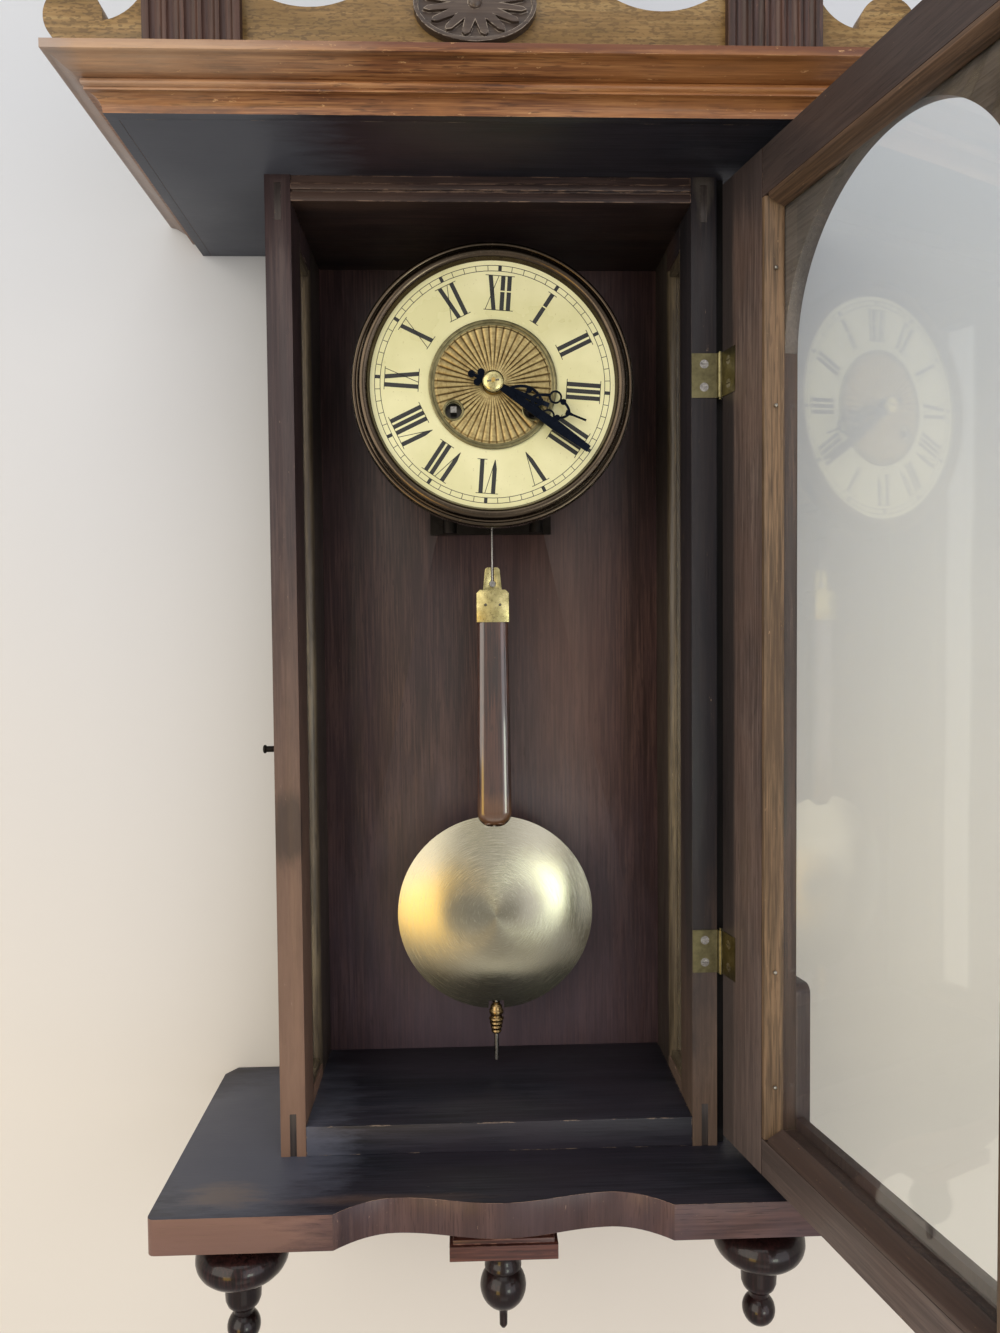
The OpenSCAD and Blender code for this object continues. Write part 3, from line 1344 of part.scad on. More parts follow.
module hand_nut() {
    y1 = y_minute_hand;
    color("#b8964e") difference() {
        turned_y(0, y1, z_dial)
            polygon([[1.2, 0], [hand_nut_r, 0], [hand_nut_r, 0.8], [hand_nut_r - 1.6, 2.6], [1.2, 3.2]]);
        bar(-hand_nut_r, hand_nut_r, y1 - 4, y1 - 2.4, z_dial - 0.5, z_dial + 0.5);
    }
}

// Pendulum

// Cross pin, suspension spring, its lower block and the leader wire with its end knob
module pendulum_leader() {
    color("#b9b3a4") translate([0, y_pend, z_hang]) {
        rod_x(0, 12.95, -3, 3, 0.8);
        bar(-0.15, 0.15, -3, 3, -8, 12.95);
        bar(-2, 2, -3.2, 3.2, -15, -8);
        rod_z(0, 0, 4 - cap_drop, -15, leader_r);
        rod_y(0, 4 - cap_drop, -2, 2, 2);
    }
}
// Brass cap with the slotted tongue that hangs on the leader
module pendulum_cap() {
    w = cap_w / 2;
    t = stick_t / 2 + 0.8;
    color("#b08f4a") translate([0, y_pend, 0]) {
        difference() {
            slab(-1, 1) polygon([[-6.2, z_cap_top], [6.2, z_cap_top], [4.8, z_cap_top + tongue_h - 1],
                                 [3.6, z_cap_top + tongue_h], [-3.6, z_cap_top + tongue_h],
                                 [-4.8, z_cap_top + tongue_h - 1]]);
            rod_y(0, z_cap_top + 4, -2, 2, 2);
            bar(-leader_r - 0.4, leader_r + 0.4, -2, 2, z_cap_top + 4, z_cap_top + tongue_h + 1);
        }
        difference() {
            intersection() {
                bar(-w, w, -t, t, z_cap_low, z_cap_top);
                slab(-t, t) polygon([[-w, z_cap_low], [w, z_cap_low], [w, z_cap_top - 2.2],
                                     [w - 2.2, z_cap_top], [2.2 - w, z_cap_top], [-w, z_cap_top - 2.2]]);
            }
            bar(-w + 0.8, w - 0.8, -stick_t / 2, stick_t / 2, z_cap_low - 1, z_cap_top - 2.2);
        }
    }
}
module pendulum_stick() {
    neck = cap_w / 2 - 0.8;
    a = stick_w_top / 2;
    b = stick_w_low / 2;
    t = stick_t / 2;
    color("#6b3420") translate([0, y_pend, 0]) difference() {
        intersection() {
            slab(-t, t) polygon(concat(
                [[-neck, z_cap_top - 2.2], [-neck, z_cap_low], [-a, z_cap_low]],
                [for (u = [180:15:360]) [b * cos(u), z_stick_low + b * 0.5 + b * 0.5 * sin(u)]],
                [[a, z_cap_low], [neck, z_cap_low], [neck, z_cap_top - 2.2]]));
            translate([0, 0, z_stick_low - 1]) linear_extrude(z_cap_top - z_stick_low + 2)
                polygon([[-b, -t + 2.4], [-b + 3.4, -t], [b - 3.4, -t], [b, -t + 2.4],
                         [b, t - 2.4], [b - 3.4, t], [-b + 3.4, t], [-b, t - 2.4]]);
        }
        rod_z(0, 0, z_stick_low - 1, z_stick_low + 18, rating_rod_r);
    }
}
// Lens-shaped bob with a notch for the stick, a bore for the rod and a notch for the nut
module pendulum_bob() {
    h = bob_t / 2;
    edge = 1;
    ball = (bob_r * bob_r + pow(h - edge, 2)) / (2 * (h - edge));
    lean = asin(bob_r / ball);
    color("#d6c68c") translate([0, y_pend, 0]) difference() {
        turned_y(0, 0, z_bob) polygon(concat(
            [for (i = [0:12]) [ball * sin(lean * i / 12), h - ball + ball * cos(lean * i / 12)]],
            [for (i = [12:-1:0]) [ball * sin(lean * i / 12), ball - h - ball * cos(lean * i / 12)]]));
        bar(-stick_w_low / 2 - pass, stick_w_low / 2 + pass, -h, h, z_stick_low - pass, z_bob_top + 1);
        rod_z(0, 0, z_bob_low - 1, z_bob_top, rating_rod_r + run);
        bar(-rating_nut_r - 0.2, rating_nut_r + 0.2, -h, h, z_bob_low - 1, z_nut_top + pass);
    }
}
module rating_rod() {
    color("#8f8b80") translate([0, y_pend, 0]) {
        rod_z(0, 0, z_rod_low, z_stick_low + 18, rating_rod_r);
    }
}
// Beehive nut under the bob
module rating_nut() {
    r = rating_nut_r;
    h = rating_nut_h;
    color("#b9974c") translate([0, y_pend, z_nut_top]) rotate_extrude()
        polygon(concat([[rating_rod_r + run, 0], [0.55 * r, 0]],
            arc(0, -0.22 * h, 0.8 * r, 60, 0, 4),
            [[0.95 * r, -0.28 * h], [0.95 * r, -0.36 * h], [0.72 * r, -0.4 * h], [0.72 * r, -0.46 * h]],
            [for (k = [0:3], a = [60, 0, -60]) let (q = r * (1 - 0.1 * k))
                [q - 1.2 + 1.2 * cos(a), h * (-0.54 - 0.13 * k) + 1.2 * sin(a)]],
            [[0.45 * r, -h], [rating_rod_r + run, -h]]));
}

front_stiles();
rear_stiles();
side_rails();
side_glasses();
side_beads();
top_board();
floor_board();
back_board();
soffit_board();
cornice_moulding();
base_board();
drop_block();
bottom_finials();
crest_board();
crest_blocks();
crest_medallion();
hanger_plate();
case_screws();
hinge_case_leaves();
catch_peg();
movement_bracket();
back_plate();
front_plate();
dial_plate();
dial_centre();
dial_bezel();
suspension_cock();
gong();
door_stiles();
door_rails();
door_arch_board();
door_glass();
door_beads();
door_columns();
door_blocks();
hinge_door_leaves();
door_screws();
door_hook();
centre_wheel();
cannon_pinion();
minute_hand();
hand_nut();
hour_wheel();
hour_hand();
minute_wheel();
third_wheel();
escape_wheel();
anchor();
time_barrel();
time_winder();
strike_barrel();
strike_winder();
pin_wheel();
gong_hammer();
pendulum_leader();
pendulum_cap();
pendulum_stick();
pendulum_bob();
rating_rod();
rating_nut();
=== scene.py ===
# Dresses the wall clock: stained woods, turned and pressed brass, the painted dial, the lamps and the camera
import json
import math
import bpy
from mathutils import Matrix, Vector


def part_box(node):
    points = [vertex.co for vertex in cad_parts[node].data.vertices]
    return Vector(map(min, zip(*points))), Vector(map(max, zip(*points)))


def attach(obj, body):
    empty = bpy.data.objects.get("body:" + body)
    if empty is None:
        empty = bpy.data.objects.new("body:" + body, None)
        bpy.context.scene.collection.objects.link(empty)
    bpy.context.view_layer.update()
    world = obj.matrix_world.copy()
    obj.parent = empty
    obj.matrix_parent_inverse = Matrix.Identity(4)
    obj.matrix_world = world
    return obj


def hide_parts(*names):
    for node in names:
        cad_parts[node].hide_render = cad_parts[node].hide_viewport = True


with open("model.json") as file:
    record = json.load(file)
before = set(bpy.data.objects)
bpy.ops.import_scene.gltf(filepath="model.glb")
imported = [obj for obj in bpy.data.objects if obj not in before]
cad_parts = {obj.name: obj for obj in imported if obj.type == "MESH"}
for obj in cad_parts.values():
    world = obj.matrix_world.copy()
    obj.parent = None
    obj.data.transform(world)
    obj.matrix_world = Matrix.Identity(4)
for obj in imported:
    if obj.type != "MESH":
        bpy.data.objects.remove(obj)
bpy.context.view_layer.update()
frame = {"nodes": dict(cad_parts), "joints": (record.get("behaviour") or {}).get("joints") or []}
mm = 0.001

# The door as it stands at rest, turned about its hinge pin
doorTurn = math.radians(103.3)
hingeJoint = next(j for j in frame["joints"] if j["name"] == "door_hinge")
hingePlace = Vector(hingeJoint["pos_m"])
doorMatrix = (Matrix.Translation(hingePlace) @ Matrix.Rotation(doorTurn, 4, "Z")
              @ Matrix.Translation(-hingePlace))


# Colour and node helpers

def hexColour(code):
    parts = [int(code[i:i + 2], 16) / 255 for i in (1, 3, 5)]
    return [c / 12.92 if c <= 0.04045 else ((c + 0.055) / 1.055) ** 2.4 for c in parts] + [1.0]


def asColour(value):
    # A hex code, a grey level, or a socket that stays as it is
    if isinstance(value, str):
        return hexColour(value)
    return [value] * 3 + [1.0] if isinstance(value, float) else value


def setInputs(tree, node, inputs):
    # Each input takes a value or a socket
    for name, value in inputs.items():
        if isinstance(value, bpy.types.NodeSocket):
            tree.links.new(value, node.inputs[name])
        else:
            node.inputs[name].default_value = value


def addNode(tree, kind, inputs, **settings):
    # The settings are the node's own choices
    node = tree.nodes.new("ShaderNode" + kind)
    for name, value in settings.items():
        setattr(node, name, value)
    setInputs(tree, node, inputs)
    return node


def newMaterial(name):
    material = bpy.data.materials.new(name)
    material.use_nodes = True
    tree = material.node_tree
    coords = addNode(tree, "TexCoord", {}).outputs["Object"]
    return material, tree, tree.nodes["Principled BSDF"], coords


def calc(tree, operation, a, b=0.0, c=0.0):
    return addNode(tree, "Math", {0: a, 1: b, 2: c}, operation=operation).outputs["Value"]


def vectorCalc(tree, operation, a, b):
    return addNode(tree, "VectorMath", {0: a, 1: b}, operation=operation).outputs["Vector"]


def vectorLength(tree, vector):
    return addNode(tree, "VectorMath", {0: vector}, operation="LENGTH").outputs["Value"]


def noise(tree, place, size, detail, **inputs):
    # Its lumps are about as large as the size in millimetres
    inputs.update({"Vector": place, "Scale": 1 / (size * mm), "Detail": detail})
    return addNode(tree, "TexNoise", inputs).outputs["Fac"]


def ramp(tree, value, *stops):
    node = addNode(tree, "ValToRGB", {"Fac": value})
    elements = node.color_ramp.elements
    while len(elements) < len(stops):
        elements.new(0.5)
    for element, (place, colour) in zip(elements, stops):
        element.position = place
        element.color = asColour(colour)
    return node.outputs["Color"]


def mapped(tree, value, start, end, low, high):
    return addNode(tree, "MapRange", {"Value": value, "From Min": start, "From Max": end,
                                      "To Min": low, "To Max": high}).outputs["Result"]


def mixColour(tree, share, first, second):
    return addNode(tree, "Mix", {"Factor": share, "A": asColour(first), "B": asColour(second)},
                   data_type="RGBA").outputs["Result"]


def bumpNormal(tree, height, strength, depth=0.05):
    return addNode(tree, "Bump", {"Height": height, "Strength": strength,
                                  "Distance": depth * mm}).outputs["Normal"]


def seeThrough(tree, shader, share):
    # Makes that share of the surface clear
    clear = addNode(tree, "BsdfTransparent", {}).outputs["BSDF"]
    mixed = addNode(tree, "MixShader", {0: share, 1: shader.outputs["BSDF"], 2: clear})
    tree.links.new(mixed.outputs["Shader"], tree.nodes["Material Output"].inputs["Surface"])


def patch(middle, reach, colour, share, ragged=0.5, core=0.6):
    # A soft-edged place with a colour of its own: its middle and its three half sizes in millimetres
    return dict(middle=middle, reach=reach, colour=colour, share=share, ragged=ragged, core=core)


def addPatches(tree, coords, uneven, colour, patches):
    for look in patches:
        offset = vectorCalc(tree, "SUBTRACT", coords, [c * mm for c in look["middle"]])
        far = vectorLength(tree, vectorCalc(tree, "DIVIDE", offset, [r * mm for r in look["reach"]]))
        edge = calc(tree, "MULTIPLY_ADD", uneven, look["ragged"], far)
        slack = look["ragged"] / 2
        mask = mapped(tree, edge, look["core"] + slack, 1.0 + slack, look["share"], 0.0)
        colour = mixColour(tree, mask, colour, look["colour"])
    return colour


# Woods. The grain runs along one axis: a pattern is squeezed there by the length of its fibres

def woodMaterial(name, look, grain, worn):
    material, tree, shader, coords = newMaterial(name)
    grainCoords = coords
    if grain == "D":  # along a rail of the open door
        grainCoords = addNode(tree, "Mapping",
                              {"Vector": coords, "Rotation": (0, 0, -doorTurn)}).outputs["Vector"]
    axis = {"X": 0, "Y": 1, "Z": 2, "D": 0}[grain]

    def grainNoise(length, size, detail, **inputs):
        scale = [1.0, 1.0, 1.0]
        scale[axis] = 1.0 / length
        settings = {"Vector": grainCoords, "Scale": scale, "Location": (0.0, 0.31, 0.17)}
        place = addNode(tree, "Mapping", settings).outputs["Vector"]
        return noise(tree, place, size, detail, **inputs)

    figure = grainNoise(9.0, look["figureMm"], 2.0, Distortion=0.9)
    streaks = grainNoise(30.0, look["streakMm"], 3.0, Roughness=0.6)
    fibres = grainNoise(45.0, look["fibreMm"], 2.0)
    pores = grainNoise(look["poreLength"], look["poreMm"], 1.0)
    stain = grainNoise(1.6, look["stainMm"], 5.0, Roughness=0.6)
    rubbed = grainNoise(6.0 if worn else 3.5, look["rubMm"], 5.0, Roughness=0.7)
    ragged = grainNoise(5.0, 7.0, 5.0, Roughness=0.7)
    tone = calc(tree, "MULTIPLY", figure, look["figureShare"])
    tone = calc(tree, "MULTIPLY_ADD", streaks, look["streakShare"], tone)
    tone = calc(tree, "MULTIPLY_ADD", fibres, 1 - look["figureShare"] - look["streakShare"], tone)
    colour = ramp(tree, tone, (0.5 - look["spread"], look["dark"]), (0.5, look["mid"]),
                  (0.5 + look["spread"], look["light"]))
    poreMask = ramp(tree, pores, (look["poreCut"] - 0.05, look["poreShare"]), (look["poreCut"] + 0.04, 0.0))
    colour = mixColour(tree, poreMask, colour, look["pore"])
    stainMask = ramp(tree, stain, (0.42, 0.0), (0.62, look["stainShare"]))
    colour = mixColour(tree, stainMask, colour, look["stain"])
    colour = addPatches(tree, coords, ragged, colour, look.get("patches", ()))
    cut = look["edgeCut"] if worn else look["rubCut"]
    colour = mixColour(tree, ramp(tree, rubbed, (cut, 0.0), (cut + 0.05, 0.85)), colour, look["bare"])
    relief = calc(tree, "SUBTRACT", tone, poreMask)
    setInputs(tree, shader, {
        "Base Color": colour, "Normal": bumpNormal(tree, relief, look["bump"], 0.25),
        "Roughness": mapped(tree, stain, 0.3, 0.7, look["rough"] - 0.08, look["rough"] + 0.1),
        "Coat Weight": look["polish"], "Coat Roughness": look["coatRough"], "Coat IOR": look["coatIor"],
        "Specular IOR Level": look["shine"], "IOR": 1.5})
    return material


# Real fibres of about 0.2 mm and pores of 0.3 mm are drawn near 1 mm, so that they show in the picture
plainWood = dict(
    figureMm=18.0, streakMm=1.9, fibreMm=1.0, poreMm=1.0, poreLength=12.0, poreCut=0.36, poreShare=0.6,
    stainMm=60.0, stainShare=0.45, rubMm=2.4, rubCut=0.69, edgeCut=0.54, figureShare=0.3, streakShare=0.45,
    spread=0.075, rough=0.45, bump=0.3, shine=0.3, polish=0.12, coatRough=0.25, coatIor=1.5)


def stained(dark, mid, light, pore, stain, bare, **changes):
    # Three tones of the grain, the pores, the stain lying on it, and the bare wood where it is worn
    return dict(plainWood, dark=dark, mid=mid, light=light, pore=pore, stain=stain, bare=bare, **changes)


woodLooks = {
    # Polished walnut of the cornice, golden where the stain has faded and red along its top edge
    "fadedWalnut": stained(
        "#55321C", "#835430", "#A8784B", "#3F2413", "#A06A38", "#CDA06C", stainMm=45.0, stainShare=0.55,
        polish=0.15, rough=0.42, edgeCut=0.52, rubCut=0.64, streakMm=1.6, spread=0.1,
        patches=[patch((0, -90, -13), (900, 900, 5), "#643A27", 0.8, ragged=0.9),
                 patch((-190, -215, -26), (150, 30, 30), "#CBAB88", 0.7, core=0.25),
                 patch((-226, -60, -28), (24, 400, 60), "#9C8B7E", 0.8),
                 patch((-150, -212, -36), (60, 30, 5), "#4A2C18", 0.7, ragged=1.6)]),
    # Oiled beech of the crest, olive with short dark flecks
    "goldenBeech": stained(
        "#6F572E", "#87693C", "#9C8150", "#4A3619", "#70552D", "#B0935E", poreMm=0.9, poreLength=3.2,
        poreCut=0.45, poreShare=0.6, spread=0.11, rough=0.5, stainMm=24.0),
    # Dark stained oak of the fluted blocks
    "fumedOak": stained(
        "#2A1B15", "#3D2922", "#50372D", "#1A110D", "#4A3126", "#8A684A", streakMm=2.4, rough=0.5,
        bump=0.5, edgeCut=0.5),
    # Carved oak under dark wax, its ridges rubbed grey
    "carvedOak": stained(
        "#2C2520", "#40372F", "#54493E", "#1C1713", "#4B3A30", "#8D8070", rough=0.4, polish=0.2,
        edgeCut=0.47),
    # Mahogany stained back board with a soft old polish, a painted sheen right of the middle and greyish
    # painted light low down
    "redMahogany": stained(
        "#2D1E1B", "#3E2B27", "#4F3932", "#211412", "#39272A", "#6A4C3F", streakMm=1.5, rough=0.42,
        polish=0.12, coatRough=0.35, bump=0.2,
        # painted sheen on the back board, right of the middle
        patches=[patch((52, -29, -330), (55, 60, 180), "#664635", 0.5, core=0.1, ragged=0.4),
                 # painted light, greyish, over the lower back board
                 patch((0, -29, -560), (160, 60, 190), "#655960", 0.6, core=0.2)]),
    # Side frames, stained brown; painted shade darkens the top of the left frame, painted light makes both
    # paler towards the floor, and a painted shadow of the open door lies nearly black beside the hinges
    "brownStile": stained(
        "#2E211D", "#42322D", "#5A473E", "#221815", "#3E2D27", "#8C7563", rubCut=0.68, rough=0.5,
        streakMm=1.5,
        # painted shade at the top of the left frame, then painted light at the feet of both frames
        patches=[patch((-124, -100, -90), (60, 400, 420), "#33272A", 0.6, core=0.2),
                 patch((-124, -100, -660), (60, 400, 430), "#8A6C57", 0.8, core=0.15),
                 patch((124, -100, -690), (60, 400, 300), "#6A5848", 0.7, core=0.2),
                 # painted shadow of the open door down the front of the right frame
                 patch((120, -122, -200), (24, 60, 400), "#1B1C21", 0.85, core=0.7),
                 patch((-124, -123, -420), (16, 10, 26), "#2E2622", 0.7, ragged=1.4),
                 patch((124, -124, -46), (7, 6, 22), "#6E6555", 0.25, ragged=1.4)]),
    # End grain of the tenons in the front edges
    "tenonEnd": stained(
        "#231F1E", "#302A28", "#3E3733", "#191616", "#3A2E28", "#6E5B4C", rough=0.55),
    # Inside of the side frames, in the shade of the case
    "innerStile": stained(
        "#2C2521", "#38302A", "#474036", "#1D1916", "#30261F", "#6F6450", rubCut=0.68, rough=0.45),
    # Nearly black stain of the soffit and of the board tops, with a painted slate-grey reflection at the left
    # of the soffit and a painted sheen at the left of the base top
    "blackStain": stained(
        "#13141A", "#1D1E26", "#2B2A31", "#0D0D12", "#282129", "#7A695A", stainMm=70.0, stainShare=0.6,
        rough=0.45, polish=0.1, coatRough=0.5, bump=0.2, rubCut=0.71,
        patches=[patch((-70, -160, -38), (110, 50, 12), "#3B2C2F", 0.7, ragged=1.4, core=0.3),
                 # painted reflection, slate-grey, at the left of the soffit
                 patch((-165, -110, -38), (95, 170, 12), "#4C4F57", 0.9, ragged=0.6),
                 # painted sheen at the back left of the base top
                 patch((-152, -100, -618), (75, 120, 40), "#545660", 0.8, ragged=0.8),
                 patch((-157, -160, -618), (30, 15, 12), "#75665A", 0.6, ragged=2.4, core=0.2),
                 patch((-70, -168, -618), (70, 6, 12), "#5A463C", 0.5, ragged=2.4, core=0.2)]),
    # Red-brown edge of the base board, walnut under worn stain
    "redWalnut": stained(
        "#3A2724", "#4C3530", "#624740", "#2B1C18", "#46373B", "#AA8A70", stainMm=24.0, stainShare=0.6,
        rough=0.42, polish=0.1, rubCut=0.67, edgeCut=0.48, spread=0.1, figureShare=0.55, streakShare=0.25,
        patches=[patch((-165, -160, -628), (75, 100, 30), "#8A6857", 0.65, ragged=1.0),
                 patch((0, -165, -628), (100, 60, 30), "#43312F", 0.45)]),
    # Moulded block under the base, redder and polished
    "dropMahogany": stained(
        "#3A1E18", "#512D25", "#683F31", "#26120E", "#452620", "#8C6450", rough=0.36, polish=0.2),
    # Plinth and blocks on the front of the door
    "plinthStain": stained(
        "#2A2220", "#382E2B", "#483C37", "#1D1715", "#3A2A26", "#7A6558", rough=0.42, polish=0.15),
    # Back of the door: dull brown stain over beech, with painted shade in black along the hinge edge
    "dullBrown": stained(
        "#433833", "#584A44", "#6B5B52", "#302723", "#5F4A3F", "#8A745F", stainMm=40.0, rubCut=0.7,
        rough=0.5, streakMm=1.6,
        # painted shade along the hinge edge
        patches=[patch((134, -128, -330), (13, 12, 600), "#221E1E", 0.9, ragged=0.2, core=0.75),
                 patch((175, -260, -32), (130, 320, 60), "#352E2D", 0.75, core=0.6),
                 patch((140, -160, -680), (300, 300, 260), "#5F534C", 0.6, core=0.2)]),
    # Slate-grey stain of the arch board
    "slateStain": stained(
        "#443F3D", "#55504D", "#655E5A", "#393534", "#51463F", "#8A7C68", rough=0.5, edgeCut=0.54,
        spread=0.16),
    # Dark brown top board, and the edges round the opening of the door
    "headerStain": stained(
        "#211817", "#302421", "#44342E", "#171111", "#3B2B26", "#7E6654", rough=0.46, edgeCut=0.5,
        patches=[patch((-90, -118, -48), (60, 12, 12), "#4E3B30", 0.6, ragged=1.0)]),
    # Beech glazing beads, stained thinly and yellowed by age
    "rawBead": stained(
        "#4A3A2A", "#66523C", "#7C6349", "#3E3022", "#5A4634", "#94795A", streakMm=1.2, poreShare=0.4,
        rough=0.55, rubCut=0.66, edgeCut=0.66),
    # Arch and lower beads, handled more and browner, nearly black at the bottom
    "railBead": stained(
        "#43352A", "#5A4636", "#735A45", "#33271F", "#4E3B2E", "#94795A", streakMm=1.2, fibreMm=0.8,
        poreShare=0.3, spread=0.1, rough=0.55, rubCut=0.66, edgeCut=0.62,
        patches=[patch((150, -250, -590), (300, 400, 75), "#433530", 0.8, core=0.5)]),
    # Beads inside the case, darkened by smoke and polish
    "shadedBead": stained(
        "#3D3426", "#4F4535", "#665A45", "#2A2319", "#3A2F24", "#8B7E62", rough=0.42, polish=0.15),
    # Glossy turned finials and columns
    "darkPolish": stained(
        "#100706", "#1B0F0F", "#301A18", "#0A0403", "#1A0B09", "#4A281E", rough=0.3, polish=0.3,
        coatRough=0.06, bump=0.08, shine=0.15, rubCut=0.8, edgeCut=0.66),
    # Polished stick of the pendulum, rubbed to a lighter brown at its foot
    "stickWood": stained(
        "#23130E", "#372018", "#523326", "#190D09", "#341D15", "#7E583C", streakMm=1.2, rough=0.32,
        polish=1.0, coatRough=0.1, coatIor=1.6, shine=0.25, bump=0.1, rubCut=0.7,
        patches=[patch((0, -54, -430), (20, 20, 22), "#74502F", 0.5, ragged=1.0)]),
    # Near-black strip behind the hinges: painted shade where the crevice between case and door lies in shadow
    "gapShadeStrip": stained(
        "#0E0D0E", "#141314", "#1B191A", "#0A0A0A", "#121112", "#1E1B1B", rough=0.6, polish=0.0),
}
madeWoods = {}


def wood(name, grain, worn=False):
    key = name + grain + ("Worn" if worn else "")
    if key not in madeWoods:
        madeWoods[key] = woodMaterial(key, woodLooks[name], grain, worn)
    return madeWoods[key]


# Metals: a base colour broken up by tarnish, with fine scratches in the roughness

def metalMaterial(name, look):
    material, tree, shader, coords = newMaterial(name)
    tarnish = noise(tree, coords, look["patchMm"], 6.0, Roughness=0.62)
    mask = ramp(tree, tarnish, (0.38, 0.0), (0.68, look["patchShare"]))
    scratches = noise(tree, coords, look["scratchMm"], 3.0)
    setInputs(tree, shader, {
        "Base Color": mixColour(tree, mask, look["base"], look["patch"]), "Metallic": 1.0,
        "Roughness": mapped(tree, scratches, 0.3, 0.7, look["rough"] - 0.07, look["rough"] + 0.09),
        "Normal": bumpNormal(tree, scratches, look["bump"])})
    return material


plainMetal = dict(patchMm=9.0, patchShare=0.6, scratchMm=1.2, rough=0.35, bump=0.2)


def tarnished(base, patch, **changes):
    return dict(plainMetal, base=base, patch=patch, **changes)


metalLooks = {
    # Unlacquered brass gone olive: hinges, hanger plate, hook and the rim of the dial centre
    "agedBrass": tarnished("#6F694C", "#3E3928", patchMm=5.0),
    # Spun brass bezel under brown lacquer
    "bezelBrass": tarnished("#50463A", "#363029", rough=0.2, patchMm=40.0, bump=0.05),
    # Bronze of the rating nut, and the paler brass of the hand nut and of the pendulum cap
    "nutBronze": tarnished("#8A7450", "#574730", rough=0.28, patchMm=2.5),
    "paleBrass": tarnished("#B5AC7C", "#857A50", rough=0.26, patchMm=3.0, patchShare=0.5),
    "capBrass": tarnished("#ABA173", "#6E663F", rough=0.3, patchMm=5.0),
    "platesBrass": tarnished("#B79A58", "#8A7240", rough=0.38),
    "screwSteel": tarnished("#9C9992", "#45423F", patchMm=2.5, rough=0.3),
    "windingSteel": tarnished("#5A5752", "#2E2B28", patchMm=3.0, rough=0.35),
    "bluedSteel": tarnished("#12161E", "#090B10", patchMm=6.0, rough=0.32, bump=0.1),
    "springSteel": tarnished("#8E8C88", "#5E5B57", rough=0.3),
    "blackIron": tarnished("#24211F", "#151312", rough=0.6, bump=0.5),
}
metals = {name: metalMaterial(name, look) for name, look in metalLooks.items()}


def glassMaterial():
    # Old drawn sheet glass: clear, a faint wave in the surface, and lamps shine through it
    material, tree, shader, coords = newMaterial("windowGlass")
    wave = noise(tree, coords, 70.0, 1.0)
    setInputs(tree, shader, {"Base Color": hexColour("#F4F8F6"), "Roughness": 0.02, "IOR": 1.5,
                             "Transmission Weight": 1.0, "Normal": bumpNormal(tree, wave, 0.08, 1.0)})
    seeThrough(tree, shader, addNode(tree, "LightPath", {}).outputs["Is Shadow Ray"])
    return material


def paintMaterial(name, look):
    # Fired enamel or dial paint: two near shades in patches, and small specks of age
    material, tree, shader, coords = newMaterial(name)
    shades = noise(tree, coords, look["patchMm"], 4.0)
    body = ramp(tree, shades, (0.38, look["dark"]), (0.62, look["light"]))
    specks = noise(tree, coords, look["speckMm"], 2.0)
    mask = ramp(tree, specks, (0.24, look["speckShare"]), (0.32, 0.0))
    setInputs(tree, shader, {
        "Base Color": mixColour(tree, mask, body, look["speck"]), "Coat Weight": look["coat"],
        "Roughness": mapped(tree, shades, 0.3, 0.7, look["rough"] - 0.05, look["rough"] + 0.08)})
    return material


def brushedMaterial(name, centre, look):
    # Spun or pressed brass: brush marks run in circles round the centre, and ribs, if any, fan out from it
    material, tree, shader, coords = newMaterial(name)
    local = vectorCalc(tree, "SUBTRACT", coords, tuple(centre))
    flat = vectorCalc(tree, "MULTIPLY", local, (1, 0, 1))
    radius = vectorLength(tree, flat)
    split = addNode(tree, "SeparateXYZ", {"Vector": flat})
    angle = calc(tree, "ARCTAN2", split.outputs["Z"], split.outputs["X"])
    sweep = calc(tree, "MULTIPLY", angle, look["sweepMm"] * mm)
    ringPlace = addNode(tree, "CombineXYZ", {"X": radius, "Y": sweep}).outputs["Vector"]
    marks = noise(tree, ringPlace, look["markMm"], 4.0, Roughness=0.7)
    tarnish = noise(tree, coords, look["tarnishMm"], 5.0)
    body = ramp(tree, marks, (0.3, look["dark"]), (0.7, look["light"]))
    mask = ramp(tree, tarnish, (0.42, 0.0), (0.68, look["tarnishShare"]))
    colour = mixColour(tree, mask, body, look["tarnish"])
    if "ribs" in look:  # dirt in the grooves between the ribs, which fades towards the middle
        turnedAngle = calc(tree, "MULTIPLY_ADD", angle, look["ribs"], look["ribs"] * look["slip"])
        groove = mapped(tree, calc(tree, "COSINE", turnedAngle), 0.45, 1.0, 0.0, 0.9)
        reach = mapped(tree, radius, 6 * mm, 16 * mm, 0.0, 1.0)
        colour = mixColour(tree, calc(tree, "MULTIPLY", groove, reach), colour, look["groove"])
    tangent = addNode(tree, "Tangent", {}, direction_type="RADIAL", axis="Y")
    setInputs(tree, shader, {
        "Base Color": colour, "Metallic": 1.0, "Anisotropic": look["stretch"],
        "Roughness": mapped(tree, marks, 0.3, 0.7, look["rough"] - 0.06, look["rough"] + 0.1),
        "Normal": bumpNormal(tree, marks, look["bump"]), "Tangent": tangent.outputs["Tangent"]})
    return material


windowGlass = glassMaterial()
dialEnamel = paintMaterial("dialEnamel", dict(
    dark="#D9D49B", light="#E8E3AE", patchMm=45.0, speckMm=1.3, speckShare=0.5, speck="#AE9D66", rough=0.3,
    coat=0.3))
dialPaint = paintMaterial("dialPaint", dict(
    dark="#0B0D0E", light="#131614", patchMm=3.0, speckMm=0.8, speckShare=0.4, speck="#3C3C30", rough=0.55,
    coat=0.0))
print("materials made")


# Mesh helpers

def nodeMiddle(name):
    low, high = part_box(name)
    return (low + high) / 2


